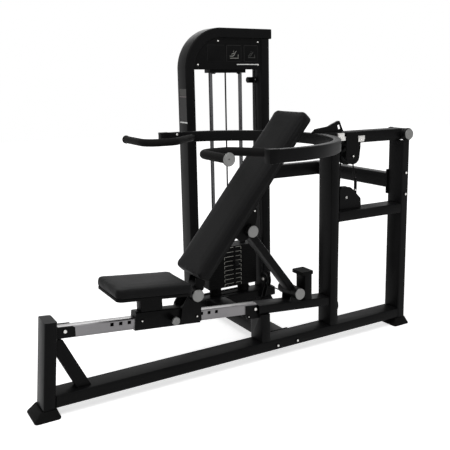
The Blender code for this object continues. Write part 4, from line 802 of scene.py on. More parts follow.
@dataclass
class Tower(Group):
    """Weight tower: bent frame, column, panel, guide rods and pulleys at the top."""

    middle: float = TOWER_MIDDLE
    left: float = 1.8105
    top: float = 1.770
    thick: float = 0.061
    deep: float = TOWER_DEEP
    bend: float = 0.250
    end: float = 2.423
    ground: float = 0.0603
    rod_top: float = 1.4995
    rod_radius: float = 0.01225
    rods_at: tuple[float, float] = (2.008, 2.220)
    panel_face: float = 0.7465
    field_face: float = 0.7450
    fields: Profile = field(default_factory=lambda: [(1.960, 2.079), (2.0946, 2.200), (2.2197, 2.3214)])
    field_low: float = 1.568
    field_high: float = 1.6665
    screws: Profile = field(default_factory=lambda: [
        (1.897, 1.548), (2.038, 1.690), (2.324, 1.688), (2.324, 1.548)])

    def build(self) -> None:
        """Builds the whole tower."""
        self.bent_frame()
        self.dress(("tower_base", "tower_right_column"), PALETTE.paint, "black_paint", 0.0012)
        self.rods()
        self.dress(("stack_bumpers",), PALETTE.rubber, "black_rubber", 0.0015)
        self.panel()
        self.placards()
        self.sticker()
        for k, (x, z) in enumerate(self.screws):
            Workshop.fastener(at(x, self.panel_face, z), -Y_AXIS, 0.0046, 0.0040, self.body,
                              f"panel_screw_{k}")
        Workshop.dome(at(2.3465, 0.8190, 1.4560), -X_AXIS, 0.0060, self.body, "peg_screw")
        self.base_trims()

    def base_trims(self) -> None:
        """Folded lip along the base's back edge, and a dark block under its front edge, standing in for
        painted shadow at floor level.
        """
        back, front = self.middle + self.deep / 2, self.middle - self.deep / 2
        lip = Workshop.block(at(1.900, back - 0.014, 0.0595), at(2.300, back, 0.0665), 0.0020)
        self.add(lip, "tower_base_lip", PALETTE.paint, "black_paint")
        # Dark painted block under the base's front edge, as painted shadow where the floor shows none.
        painted_shadow_block = Workshop.block(at(1.900, front + 0.002, -0.0230), at(2.290, front + 0.018, 0.0010), 0.0020)
        self.add(painted_shadow_block, "tower_base_painted_shadow", PALETTE.paint, "black_paint")

    def bent_frame(self) -> None:
        """Column and top bar as one bent tube with rounded corners."""
        half = self.thick / 2
        path = Workshop.fillet(
            [at(self.left + half, self.middle, self.ground),
             at(self.left + half, self.middle, self.top - half),
             at(self.end, self.middle, self.top - half)], [0, self.bend - half, 0], 30)
        path[1:1] = [path[0].lerp(path[1], t) for t in (0.001, 0.5, 0.999)]
        bm = Workshop.swept(path, Workshop.rect(self.deep, self.thick, 0.008, 4),
                            Vector((-1, 0, 1)).normalized())
        self.add(bm, "tower_bent_tube", PALETTE.paint, "black_paint", ("tower_frame",), sharp=40)

    def rods(self) -> None:
        """Chrome sleeves on the guide rods, and painted plate and hangers over them."""
        self.dress(("guide_rods",), PALETTE.plate_paint, "chrome_rod", 0.0005)
        bore, outer, inset = 0.0110, self.rod_radius, 0.0185
        sleeve = [(bore, self.ground), (outer, self.ground), (outer, self.rod_top), (bore, self.rod_top)]
        bump = [(0, 0), (0.0105, 0), (0.0105, 0.0045), (0.0085, 0.0065), (0, 0.0070)]
        for k, (x, inward) in enumerate(zip(self.rods_at, (inset, -inset))):
            tube = Workshop.spun(sleeve, at(x, self.middle, 0), Z_AXIS, 40, True)
            self.add(tube, f"rod_sleeve_{k}", PALETTE.chrome, "chrome_rod")
            bolt = Workshop.spun(bump, at(x + inward, self.middle - 0.012, self.rod_top), -Z_AXIS, 24)
            self.add(bolt, f"rod_plate_bolt_{k}", PALETTE.plate_paint, "black_paint")
        plate = Workshop.block(at(1.9885, 0.7595, 1.4993), at(2.2395, 0.8405, 1.5225), 0.0015)
        self.add(plate, "rod_head_plate", PALETTE.plate_paint, "black_paint")

    def panel(self) -> None:
        """Panel in the frame's corner with three raised fields and a folded upper edge."""
        left, right, low, high, bend = 1.8712, 2.3468, 1.519, 1.7093, 0.1885
        outline = ((left, low), (left, high), (right, high), (right, low))
        corners = [at(x, self.panel_face, z) for x, z in outline]
        parts = [Workshop.sheet(Workshop.fillet(corners, [0, bend, 0, 0], 30), Vector((0, 0.003, 0)))]
        for x0, x1 in self.fields:
            parts.append(Workshop.block(at(x0, 0.7452, self.field_low), at(x1, 0.7470, self.field_high),
                                        0.0005))
        parts.append(Workshop.block(at(2.060, 0.7440, 1.6995), at(2.330, 0.7470, 1.7025), 0.0008))
        self.add(Workshop.joined(parts), "tower_panel_plate", PALETTE.plate_paint, "black_paint",
                 ("tower_panel",), sharp=30)

    def placards(self) -> None:
        """Thin outlines and plain exercise shapes on the panel fields."""
        low, high, rim, face, proud = self.field_low, self.field_high, 0.0024, self.field_face, 0.0003
        finishes = (PALETTE.rim, PALETTE.sticker, PALETTE.sticker)
        for k, ((x0, x1), finish) in enumerate(zip(self.fields, finishes)):
            bm = bmesh.new()
            for a, b, c, d in ((x0, low, x1, low + rim / 2), (x0, high - rim, x1, high),
                               (x0, low, x0 + rim, high), (x1 - rim / 2, low, x1, high)):
                Workshop.strip(bm, at(a, face - proud, b), at(c, face + proud, d))
            self.add(bm, f"placard_rim_{k}", finish, "black_paint")
        self.diagram("placard_shape_0", 2.1500, 1.6120, 1.15, PALETTE.placard)
        self.diagram("placard_shape_1", 2.2760, 1.6120, 0.95, PALETTE.faint)
        line = bmesh.new()
        Workshop.strip(line, at(2.168, 0.7459, 1.5475), at(2.322, 0.7467, 1.5525))
        self.add(line, "placard_line", PALETTE.white, "black_paint")

    def diagram(self, name: str, x: float, z: float, size: float, finish: Finish) -> None:
        """Plain seated shape drawn with a few bars.

        Args:
            name: piece name.
            x: middle of the shape.
            z: its height.
            size: scale of the shape.
            finish: its finish.
        """
        bm = bmesh.new()
        face, proud, thin = self.field_face, 0.0003, 0.0015
        strokes = ((-0.017, -0.010, 0.022, 0), (0.003, 0.003, 0.032, -55), (0.024, -0.011, 0.018, 90),
                   (0.000, -0.021, 0.054, 0), (-0.004, 0.016, 0.005, 0), (-0.009, 0.003, 0.018, -24))
        for dx, dz, length, turn in strokes:
            cx, cz, half = x + dx * size, z + dz * size, length * size / 2
            low, high = at(cx - half, face - proud, cz - thin), at(cx + half, face + proud, cz + thin)
            Workshop.strip(bm, low, high, turn)
        self.add(bm, name, finish, "black_paint")

    def sticker(self) -> None:
        """Plain dark label strip on the left column's outer side with two light rules."""
        for name, finish, proud, y0, y1, z0, z1 in (
            ("column_strip", PALETTE.sticker, 0.0004, 0.7430, 0.8330, 1.2060, 1.4050),
            ("column_strip_top", PALETTE.strip_top, 0.0006, 0.7440, 0.8320, 1.3640, 1.4040),
            ("column_rule_thin", PALETTE.thin_rule, 0.0008, 0.7440, 0.8320, 1.3560, 1.3600),
            ("column_rule", PALETTE.white, 0.0008, 0.7410, 0.8340, 1.1990, 1.2075),
        ):
            bm = bmesh.new()
            Workshop.strip(bm, at(self.left - proud, y0, z0), at(self.left + 0.0004, y1, z1))
            self.add(bm, name, finish, "black_paint")


@dataclass
class Stack:
    """Weight plates, selector rod and pin."""

    face: float = TOWER_MIDDLE - TOWER_DEEP / 2
    centre: float = STACK_X
    bottom: float = 0.121
    pitch: float = 0.0301
    fixed: int = 5
    lifted: int = 4
    pin_profile: Profile = field(default_factory=lambda: [
        (0, -0.068), (0.0040, -0.068), (0.0050, -0.0665), (0.0050, 0.004), (0.0105, 0.005), (0.0118, 0.0065),
        (0.0125, 0.010), (0.0125, 0.026), (0.0140, 0.031), (0.0160, 0.0345), (0.0172, 0.0395),
        (0.0172, 0.0430), (0.0162, 0.0470), (0.0140, 0.0500), (0.0090, 0.0525), (0, 0.0532)])

    def build(self) -> None:
        """Dresses the plates and makes the pin and the painted highlights along the plates' edges."""
        for node, body in (("lower_weight_plates", "frame"), ("lifted_weight_plates", "lifted_stack"),
                           ("head_plate", "lifted_stack")):
            Workshop.refined(node, PALETTE.cast, body, "plate_steel", 0.0016)
        Workshop.refined("selector_rod", PALETTE.zinc, "lifted_stack", "chrome_rod", 0.0006)
        pin_z = self.bottom + (self.fixed + 0.5) * self.pitch - GAP
        pin = Workshop.spun(self.pin_profile, at(self.centre, self.face, pin_z), -Y_AXIS, 48)
        Workshop.finish(pin, "selector_pin_turned", PALETTE.nylon, "pin", "black_plastic", ("selector_pin",),
                        sharp=40)
        self.painted_edge_highlights("fixed_plate_highlights", 0, self.fixed, "frame")
        self.painted_edge_highlights("lifted_plate_highlights", self.fixed, self.lifted, "lifted_stack")

    def painted_edge_highlights(self, name: str, first: int, count: int, body: str) -> None:
        """Painted highlights: light strips along the top edge and one side edge of each plate's near face,
        two sets on each plate.

        Args:
            name: piece name.
            first: index of the lowest plate.
            count: number of plates.
            body: body that the plates are in.
        """
        bm = bmesh.new()
        thin, wide = 0.0002, 0.0030
        front, back = self.face - 2 * thin, self.face
        for k in range(first, first + count):
            low = self.bottom + k * self.pitch
            foot, head = low + 0.0040, low + 0.0235
            # Each set is a strip along the plate's top edge and one along a side edge: painted highlights.
            for x0, x1, edge in ((2.046, 2.115, 2.046), (2.131, 2.174, 2.174 - wide)):
                Workshop.strip(bm, at(x0, front, head - wide), at(x1, back, head))
                Workshop.strip(bm, at(edge, front, foot), at(edge + wide, back, head))
        Workshop.finish(bm, name, PALETTE.mark, body, "plate_steel")


@dataclass
class CableRun:
    """Pulleys and the coated cable."""

    radius: float = 0.0445
    flange: float = 0.0535
    cable: float = CABLE_R
    rise: float = 0.005
    half: float = 0.010
    head_z: float = 1.610
    anchor: Place = (2.504, -0.008, 0.828)

    @property
    def ride(self) -> float:
        """Distance from a pulley's middle to the cable's."""
        return self.radius - self.cable + GAP

    def wheels(self) -> list[tuple[str, str, Vector, Vector, float]]:
        """Node, body, centre, axis and flange radius of each pulley."""
        small, large = self.radius, self.flange
        stack = at(STACK_X + self.ride, TOWER_MIDDLE, self.head_z)
        down = at(TOWER_PULLEY[0] - self.ride - 0.004, TOWER_MIDDLE, self.head_z)
        return [
            ("top_pulley_stack", "stack_pulley", stack, Y_AXIS, small),
            ("top_pulley_down", "down_pulley", down, Y_AXIS, small),
            ("floor_pulley_tower", "tower_floor_pulley", at(*TOWER_PULLEY), X_AXIS, large),
            ("floor_pulley_base", "base_floor_pulley", at(*BASE_PULLEY), X_AXIS, small),
            ("guide_pulley", "guide_pulley_wheel", at(*GUIDE_PULLEY), Y_AXIS, large),
            ("arm_pulley", "arm_pulley_wheel", at(*ARM_PULLEY), Y_AXIS, large),
        ]

    def wheel_profile(self, r: float) -> Profile:
        """Closed profile of a grooved wheel with a dished web and a hub, from its flange radius."""
        h, c = self.half, self.cable
        groove = self.radius - 2 * c
        half = [(0.0056, h), (0.0150, h), (0.0158, h - 0.0008), (0.0164, h - 0.0040), (0.0190, h - 0.0055),
                (groove - 0.0080, h - 0.0055), (groove - 0.0055, h - 0.0035), (r - 0.0035, h),
                (r - 0.0008, h), (r, h - 0.0012), (r - 0.0020, h - 0.0040)]
        arc = [(groove + c - c * math.cos(t), c * 1.08 * math.sin(t)) for t in
               [math.radians(a) for a in range(75, -90, -15)]]
        return half + arc + [(a, -b) for a, b in reversed(half)]

    def build(self) -> None:
        """Makes the pulleys and the three stretches of cable."""
        for node, body, centre, axis, flange in self.wheels():
            bm = Workshop.spun(self.wheel_profile(flange), centre, axis, 48, True)
            Workshop.finish(bm, node + "_turned", PALETTE.nylon, body, "black_plastic", (node,), sharp=38)
        self.fixed_run()
        self.arm_loop()
        self.stack_run()

    def arc(self, centre: Vector, start: float, stop: float, u: Vector, v: Vector,
            count: int = 16) -> list[Vector]:
        """Points round a pulley from one angle to another."""
        turns = [math.radians(start + (stop - start) * k / count) for k in range(count + 1)]
        return [centre + (u * math.cos(t) + v * math.sin(t)) * self.ride for t in turns]

    def strand(self, name: str, path: list[Vector], side: Vector, replaces: str, body: str = "",
               radius: float = CABLE_R) -> Piece:
        """One stretch of coated cable."""
        bm = Workshop.swept(path, Workshop.circle(radius, 14), side)
        return Workshop.finish(bm, name, PALETTE.cable, body, "cable_black", (replaces,), sharp=60)

    def fixed_run(self) -> None:
        """Cable from the tower's top to the guide pulley."""
        wheels = {node: centre for node, _, centre, _, _ in self.wheels()}
        ride = self.ride
        left, right = wheels["top_pulley_stack"], wheels["top_pulley_down"]
        tower, base = wheels["floor_pulley_tower"], wheels["floor_pulley_base"]
        over = [left + Vector((-ride, 0, GAP))]
        over += self.arc(left, 180, 90, X_AXIS, Z_AXIS)[1:] + self.arc(right, 90, 0, X_AXIS, Z_AXIS)
        over += [over[-1] - Vector((0, 0, 0.06)), over[-1] - Vector((0, 0, 0.12))]
        self.strand("cable_over_top", over, Y_AXIS, "cable_fixed_run", "frame")
        entry = Vector((tower.x, tower.y + ride, tower.z + 0.06))
        joint = over[-1]
        down = [joint + Vector((0, 0, GAP))] + [joint.lerp(entry, t) for t in (0.25, 0.5, 0.75)] + [entry]
        down += self.arc(tower, 0, -90, Y_AXIS, Z_AXIS)
        down += self.arc(base, -90, -180, Y_AXIS, Z_AXIS)
        guide = wheels["guide_pulley"]
        rise = [Vector((base.x, base.y - ride, 0.34)), Vector((guide.x - ride, guide.y, guide.z - 0.04)),
                Vector((guide.x - ride, guide.y, guide.z - 2 * GAP))]
        self.strand("cable_down_and_back", down + rise, X_AXIS, "cable_fixed_run", "frame")

    def arm_loop(self) -> None:
        """Cable loop over the arm's pulley, with a bright threaded end at the anchor."""
        wheels = {node: centre for node, _, centre, _, _ in self.wheels()}
        guide, arm = wheels["guide_pulley"], wheels["arm_pulley"]
        start = Vector((guide.x - self.ride, ORIGIN.y, guide.z))
        tangent = Vector((arm.x - self.ride, arm.y, arm.z))
        steps = [k / 24 for k in range(1, 24)]
        path = [start] + [start.lerp(tangent, t) for t in steps]
        path += self.arc(arm, 180, 0, X_AXIS, Z_AXIS, 24)
        path += [path[-1].lerp(at(*self.anchor), t) for t in steps + [1.0]]
        loop = self.strand("cable_arm_loop_run", path, Y_AXIS, "cable_arm_loop")
        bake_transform(loop)
        self.cable_end()

    def cable_end(self) -> None:
        """Black threaded stud and its bright nut, where the cable is anchored."""
        x, y, _ = self.anchor
        r, collar = 0.0066, 0.0086
        stud = [(0, 0), (0.0060, 0), (r, 0.0010), (r, 0.0100), (collar, 0.0104), (collar, 0.0520),
                (0.0074, 0.0540), (r, 0.0545), (r, 0.0700), (0.0050, 0.0740), (0, 0.0744)]
        Workshop.finish(Workshop.spun(stud, at(x, y, 0.8237), Z_AXIS, 28), "cable_end_stud",
                        PALETTE.plate_paint, "frame", "satin_silver", sharp=40)
        nut = [(0.0064, 0.0), (0.0100, 0.0), (0.0106, 0.0008), (0.0106, 0.0072), (0.0100, 0.0080),
               (0.0064, 0.0080)]
        Workshop.finish(Workshop.spun(nut, at(x, y, 0.8240), Z_AXIS, 24, True), "cable_end_nut",
                        PALETTE.zinc, "frame", "satin_silver", sharp=40)

    def stack_run(self) -> None:
        """Cable from the selector rod to the top pulley."""
        low, high = at(STACK_X, TOWER_MIDDLE, 0.4635), at(STACK_X, TOWER_MIDDLE, self.head_z - GAP)
        path = [low.lerp(high, k / 10) for k in range(11)]
        run = self.strand("cable_stack_rise", path, Y_AXIS, "cable_stack_run", radius=self.rise)
        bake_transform(run)


@dataclass
class PressArm(Group):
    """Beam, yoke, handles, grips and pulley plates."""

    body: str = "press_arm"
    top: float = 1.168
    tall: float = 0.060
    radius: float = 0.575
    thick: float = 0.040
    centre_x: float = 1.660
    front_x: float = 1.547
    grip_x: float = 1.349
    grip_halves: tuple[float, float] = (0.568, 0.560)
    bends: tuple[float, float] = (0.304, 0.280)
    foam_ends: tuple[float, float] = (1.665, 1.720)
    grip_z: float = 1.142
    bar_radius: float = 0.016
    grip_radius: float = 0.020
    discs: tuple[float, float] = (0.0292, 0.0225)
    cheek_face: float = 0.0605
    bar_face: float = 0.0403
    ease: float = 0.0012
    sharp: float = 33.0
    yoke_bolt: Place = (1.643, 0.535, 1.155)

    def build(self) -> None:
        """Builds the arm."""
        self.beam()
        self.dress(("arm_pulley_cheeks",), PALETTE.plate_paint, "black_paint", 0.0010)
        self.slide_bar()
        self.yoke()
        for side, end in ((-1.0, "near"), (1.0, "far")):
            self.handle(side, end)
        self.end_blocks()
        head = at(ARM_PULLEY[0], -self.cheek_face, ARM_PULLEY[2])
        Workshop.fastener(head, -Y_AXIS, 0.0046, 0.0040, self.body, "arm_axle_head")

    def beam(self) -> None:
        """Beam with the slot through its raised crest."""
        beam = self.add(Workshop.merged("arm_beam"), "arm_beam_dressed", PALETTE.paint, "black_paint",
                        ("arm_beam",), self.sharp, tidy=False)
        lean = Matrix.Rotation(math.radians(-18), 3, "Y")
        cutter = bmesh.new()
        bmesh.ops.create_cube(cutter, size=1.0)
        bmesh.ops.scale(cutter, vec=(0.0150, 0.2, 0.026), verts=cutter.verts)
        bmesh.ops.rotate(cutter, cent=(0, 0, 0), matrix=lean, verts=cutter.verts)
        bmesh.ops.translate(cutter, vec=at(2.3800, 0, 1.1930), verts=cutter.verts)
        Workshop.carved(beam, cutter, "slot")
        Workshop.eased(beam, self.ease, self.sharp)

    def slide_bar(self) -> None:
        """Silver slide bar with its two clamping blocks."""
        near = -self.bar_face
        parts = [Workshop.block(at(2.336, near - 0.006, 1.120), at(2.536, near, 1.142), 0.0012)]
        bolt = [(0, 0), (0.0070, 0), (0.0070, 0.0035), (0.0058, 0.0045), (0, 0.0045)]
        for x0, x1, z0, z1 in ((2.335, 2.381, 1.1255, 1.1630), (2.481, 2.525, 1.1080, 1.1420)):
            parts.append(Workshop.block(at(x0, near - 0.016, z0), at(x1, near, z1), 0.0030, 3))
            low, high = at(x0 + 0.004, near - 0.0185, z0 + 0.020), at(x1 - 0.004, near, z1 - 0.004)
            parts.append(Workshop.block(low, high, 0.0020, 2))
            parts.append(Workshop.spun(bolt, at((x0 + x1) / 2, near - 0.0160, z0 + 0.010), -Y_AXIS, 24))
        self.add(Workshop.joined(parts), "arm_slide_blocks", PALETTE.zinc, "satin_silver", ("arm_slide_bar",),
                 sharp=30)

    def yoke(self) -> None:
        """Half-round tube with short straight ends."""
        mid = self.radius - self.thick / 2
        z = self.top - self.tall / 2
        path = [at(self.front_x, -mid, z), at((self.front_x + self.centre_x) / 2, -mid, z)]
        path += [at(self.centre_x + mid * math.sin(t), -mid * math.cos(t), z)
                 for t in [math.pi * k / 72 for k in range(73)]]
        path += [at((self.front_x + self.centre_x) / 2, mid, z), at(self.front_x, mid, z)]
        bm = Workshop.swept(path, Workshop.rect(self.thick, self.tall, 0.0055, 4), Z_AXIS)
        self.add(bm, "arm_yoke_bent", PALETTE.paint, "black_paint", ("arm_yoke",), sharp=40)

    def handle(self, side: float, end: str) -> None:
        """One bent handle with its foam grip and silver end cap.

        Args:
            side: -1 for the near side, 1 for the far side.
            end: word for the side in the piece names.
        """
        which = 0 if side < 0 else 1
        reach, bend = self.grip_halves[which], self.bends[which]
        inner = self.radius - self.thick + 0.004
        corners = [Vector((self.grip_x, side * reach, 0)), Vector((self.grip_x, side * bend, 0)),
                   Vector((1.505, side * (bend - 0.006), 0)), Vector((1.745, side * (inner - 0.0075), 0))]
        path = Workshop.fillet(corners, [0, 0.070, 0.080, 0], 14)
        path = [at(p.x, p.y, self.grip_z - max(0.0, (p.x - 1.50) * 0.030)) for p in path]
        bar = Workshop.swept(path, Workshop.circle(self.bar_radius, 32), Z_AXIS)
        self.add(bar, f"handle_bar_{end}", PALETTE.paint, "black_paint", (f"handle_{end}",), sharp=40)
        self.foam_grip(path, side, end, self.foam_ends[which])
        self.grip_end(at(self.grip_x, side * reach, self.grip_z), Y_AXIS * side, end, self.discs[which])

    def foam_grip(self, path: list[Vector], side: float, end: str, stop: float) -> None:
        """Foam over the handle's bar.

        Args:
            path: the bar's middle line, from its free end.
            side: -1 for the near side, 1 for the far side.
            end: word for the side in the piece names.
            stop: station where the foam ends.
        """
        foam = [p for p in path[:-1] if p.x - ORIGIN.x < stop]
        foam.append(path[-2].lerp(path[-1], (stop - path[-2].x + ORIGIN.x) / (path[-1].x - path[-2].x)))
        foam[0] = foam[0] - Vector((0, side * 0.0015, 0))
        bm = Workshop.swept(foam, Workshop.circle(self.grip_radius, 32), Z_AXIS)
        rims = [e for e in bm.edges if len(e.link_faces) == 2 and e.calc_face_angle() > 1.2]
        bmesh.ops.bevel(bm, geom=rims, offset=0.002, segments=3, profile=0.5, affect="EDGES", material=-1)
        self.add(bm, f"foam_grip_{end}", PALETTE.foam, "grip_foam", (f"grip_{end}",), sharp=50)

    def grip_end(self, place: Vector, outward: Vector, end: str, r: float) -> None:
        """Black flange and turned silver cap on a grip's free end.

        Args:
            place: middle of the grip's end.
            outward: way that the cap faces.
            end: word for the side in the piece names.
            r: the flange's radius.
        """
        flange = [(0, 0), (r - 0.0006, 0), (r, 0.0006), (r, 0.0042), (r - 0.0006, 0.0050), (0, 0.0050)]
        self.add(Workshop.spun(flange, place, outward, 56), f"grip_flange_{end}", PALETTE.rubber,
                 "black_plastic", sharp=28)
        r -= 0.0012
        cap = [(0, 0.0046), (r, 0.0046), (r, 0.0054), (r - 0.0012, 0.0062), (r - 0.0050, 0.0062),
               (r - 0.0058, 0.0056), (r - 0.0068, 0.0056), (r - 0.0076, 0.0062), (0.0040, 0.0062),
               (0.0030, 0.0050), (0, 0.0050)]
        self.add(Workshop.spun(cap, place, outward, 56), f"grip_end_{end}", PALETTE.cap, "satin_silver",
                 sharp=28)

    def end_blocks(self) -> None:
        """Collars where the handles join the yoke's front ends."""
        z = self.top - self.tall / 2
        for side, end in ((-1.0, "near"), (1.0, "far")):
            y0, y1 = side * 0.533, side * 0.577
            low = at(self.front_x - 0.0015, min(y0, y1), z - 0.0315)
            high = at(self.front_x + 0.0500, max(y0, y1), z + 0.0315)
            block = Workshop.block(low, high, 0.0015)
            self.add(block, f"yoke_end_{end}", PALETTE.plate_paint, "black_paint")
            x, y, bolt_z = self.yoke_bolt
            Workshop.fastener(at(x, side * y, bolt_z), -Y_AXIS * side, 0.0062, 0.0050, self.body,
                              f"yoke_bolt_{end}")


@dataclass
class Upholstered:
    """A vinyl pad blown up slightly over its foam by a cloth simulation."""

    node: str
    body: str
    outward: Vector
    fill: float = 0.75
    voxel: float = 0.004
    pressure: float = 4.0
    cap: float = 0.0022
    wrap: float = 0.0105
    frames: int = 20
    firm: float = 0.004
    loose: float = 0.012

    def build(self) -> Piece:
        """Makes the pad.

        Returns:
            The finished pad.
        """
        bm = Workshop.merged(self.node)
        lowest = min(v.co.dot(self.outward) for v in bm.verts)
        for vertex in bm.verts:
            if vertex.co.dot(self.outward) < lowest + 0.001:
                vertex.co -= self.outward * self.wrap
        bmesh.ops.triangulate(bm, faces=bm.faces)
        name = self.node + "_vinyl"
        pad = Workshop.finish(bm, name, PALETTE.vinyl, self.body, "black_vinyl", (self.node,), sharp=180,
                              tidy=False)
        self.remesh(pad)
        rest = [v.co.copy() for v in pad.data.vertices]
        self.inflate(pad)
        self.hold(pad, rest)
        smooth = pad.modifiers.new("smooth", "SUBSURF")
        smooth.levels = smooth.render_levels = 1
        Workshop.bake(pad)
        if not pad.data.materials:
            pad.data.materials.append(PALETTE.vinyl.material())
        pad.data.polygons.foreach_set("use_smooth", [True] * len(pad.data.polygons))
        return pad

    def remesh(self, pad: Piece) -> None:
        """Even voxel mesh, drawn in a little."""
        remesh = pad.modifiers.new("even", "REMESH")
        remesh.mode = "VOXEL"
        remesh.voxel_size = self.voxel
        relax = pad.modifiers.new("relax", "SMOOTH")
        relax.factor, relax.iterations = 0.5, 1
        Workshop.bake(pad)

    def inflate(self, pad: Piece) -> None:
        """Short cloth simulation with pressure and no gravity."""
        cloth = pad.modifiers.new("cloth", "CLOTH")
        cloth.settings.use_pressure = True
        cloth.settings.uniform_pressure_force = self.pressure
        cloth.settings.effector_weights.gravity = 0.0
        cloth.settings.tension_stiffness = cloth.settings.compression_stiffness = 40.0
        cloth.settings.quality = 4
        cloth.point_cache.frame_start, cloth.point_cache.frame_end = 1, self.frames
        for frame in range(1, self.frames + 1):
            bpy.context.scene.frame_set(frame)
        Workshop.bake(pad)
        bpy.context.scene.frame_set(1)

    def hold(self, pad: Piece, rest: list[Vector]) -> None:
        """Caps how far each point moved, and keeps the side on the board flat."""
        lowest = min(p.dot(self.outward) for p in rest)
        for vertex, home in zip(pad.data.vertices, rest):
            move = vertex.co - home
            if move.length > self.cap:
                move *= self.cap / move.length
            depth = home.dot(self.outward) - lowest
            ease = max(0.0, min(1.0, (depth - self.firm) / self.loose))
            vertex.co = home + move * ease


@dataclass
class SeatCarriage(Group):
    """Sliding seat: sleeve, post, board, pad and sprung pin."""

    body: str = "seat_carriage"
    bolts: tuple[Place, Place] = ((1.156, 0.0322, 0.042), (1.442, 0.0508, 0.038))
    pin_hole: int = 7

    def build(self) -> None:
        """Builds the carriage."""
        self.dress(("carriage_sleeve",), PALETTE.paint, "black_paint", 0.0010)
        self.dress(("seat_post",), PALETTE.paint, "black_paint", 0.0012)
        self.dress(("seat_board",), PALETTE.board, "board_black", 0.0015)
        heads = tuple((x, y, rail_under(x) + rise, 0.0046, 0.005) for x, y, rise in self.bolts)
        Workshop.heads(heads, self.body, "carriage_bolt")
        Upholstered("seat_cushion", self.body, Vector((0, 0, 1))).build()
        self.pop_pin()

    def pop_pin(self) -> None:
        """Knurled silver knob of the sprung pin."""
        x = HOLE_FIRST + self.pin_hole * HOLE_PITCH
        z = rail_under(x) + HOLE_RISE
        profile = [(0, -0.0065), (0.0052, -0.0065), (0.0060, -0.0057), (0.0060, 0.0462), (0.0150, 0.0465),
                   (0.0188, 0.0482), (0.0202, 0.0505), (0.0205, 0.0520), (0.0205, 0.0580), (0.0198, 0.0606),
                   (0.0178, 0.0626), (0.0140, 0.0634), (0.0100, 0.0626), (0.0060, 0.0606), (0, 0.0602)]
        Workshop.finish(Workshop.spun(profile, at(x, -0.0322, z), -Y_AXIS, 56), "pop_pin_knob", PALETTE.cap,
                        "pop_pin_body", "satin_silver", ("pop_pin",), sharp=40)


@dataclass
class Backrest(Group):
    """Backrest pad, board, spine and the link under it."""

    body: str = "backrest"
    root: Place = (1.414, 0.0, 0.523)
    lean: Profile = field(default_factory=lambda: [(0.63203, 0.77494), (0.77494, -0.63203)])
    bolts: Profile = field(default_factory=lambda: [(0.120, 0.0838), (0.600, 0.0838)])
    upper_plate: Profile = field(default_factory=lambda: [
        (1.664, 0.672), (1.702, 0.640), (1.746, 0.648), (1.788, 0.690), (1.804, 0.760), (1.804, 0.806),
        (1.784, 0.818)])
    upper_rounds: tuple[float, ...] = (0.004, 0.012, 0.020, 0.025, 0.025, 0.010, 0.004)
    lower_plate: Profile = field(default_factory=lambda: [
        (1.450, 0.486), (1.505, 0.474), (1.497, 0.440), (1.490, 0.418), (1.462, 0.404), (1.438, 0.420)])
    lower_rounds: tuple[float, ...] = (0.004, 0.010, 0.020, 0.008, 0.008, 0.006)

    def build(self) -> None:
        """Builds the backrest and its link."""
        self.dress(("backrest_spine",), PALETTE.paint, "black_paint", 0.0010)
        self.dress(("backrest_board",), PALETTE.board, "board_black", 0.0015)
        Workshop.refined("link_arm", PALETTE.paint, "link", "black_paint", 0.0012)
        along, out = (Vector((x, 0, z)) for x, z in self.lean)
        spots = [Vector(self.root) + along * d + out * n for d, n in self.bolts]
        Workshop.heads(tuple((p.x, 0.041, p.z, 0.0050, 0.006) for p in spots), self.body, "backrest_bolt")
        Workshop.heads(((1.7900, 0.0560, 0.7930, 0.0054, 0.0),), self.body, "gusset_bolt")
        self.gusset("upper_gusset", 0.0505, 0.0560, self.upper_plate, self.upper_rounds)
        self.gusset("lower_gusset", 0.0300, 0.0385, self.lower_plate, self.lower_rounds)
        Upholstered("backrest_cushion", self.body, -out).build()

    def gusset(self, name: str, inner: float, outer: float, corners: Profile,
               radii: tuple[float, ...]) -> None:
        """Pair of side plates that tie the spine to a pivot.

        Args:
            name: piece name.
            inner: inner face's distance from the middle.
            outer: outer face's distance from the middle.
            corners: the outline's stations and heights.
            radii: radius at each corner.
        """
        loop = [at(x, 0, z) for x, z in corners]
        rim = Workshop.fillet([loop[-1]] + loop + [loop[0]], [0, *radii, 0], 8)[1:-1]
        for side, end in ((-1.0, "near"), (1.0, "far")):
            way = Y_AXIS * side
            bm = Workshop.sheet([p + way * inner for p in rim], way * (outer - inner))
            piece = self.add(bm, f"{name}_{end}", PALETTE.plate_paint, "black_paint", sharp=30)
            Workshop.eased(piece, 0.0010, 30.0, harden=False)


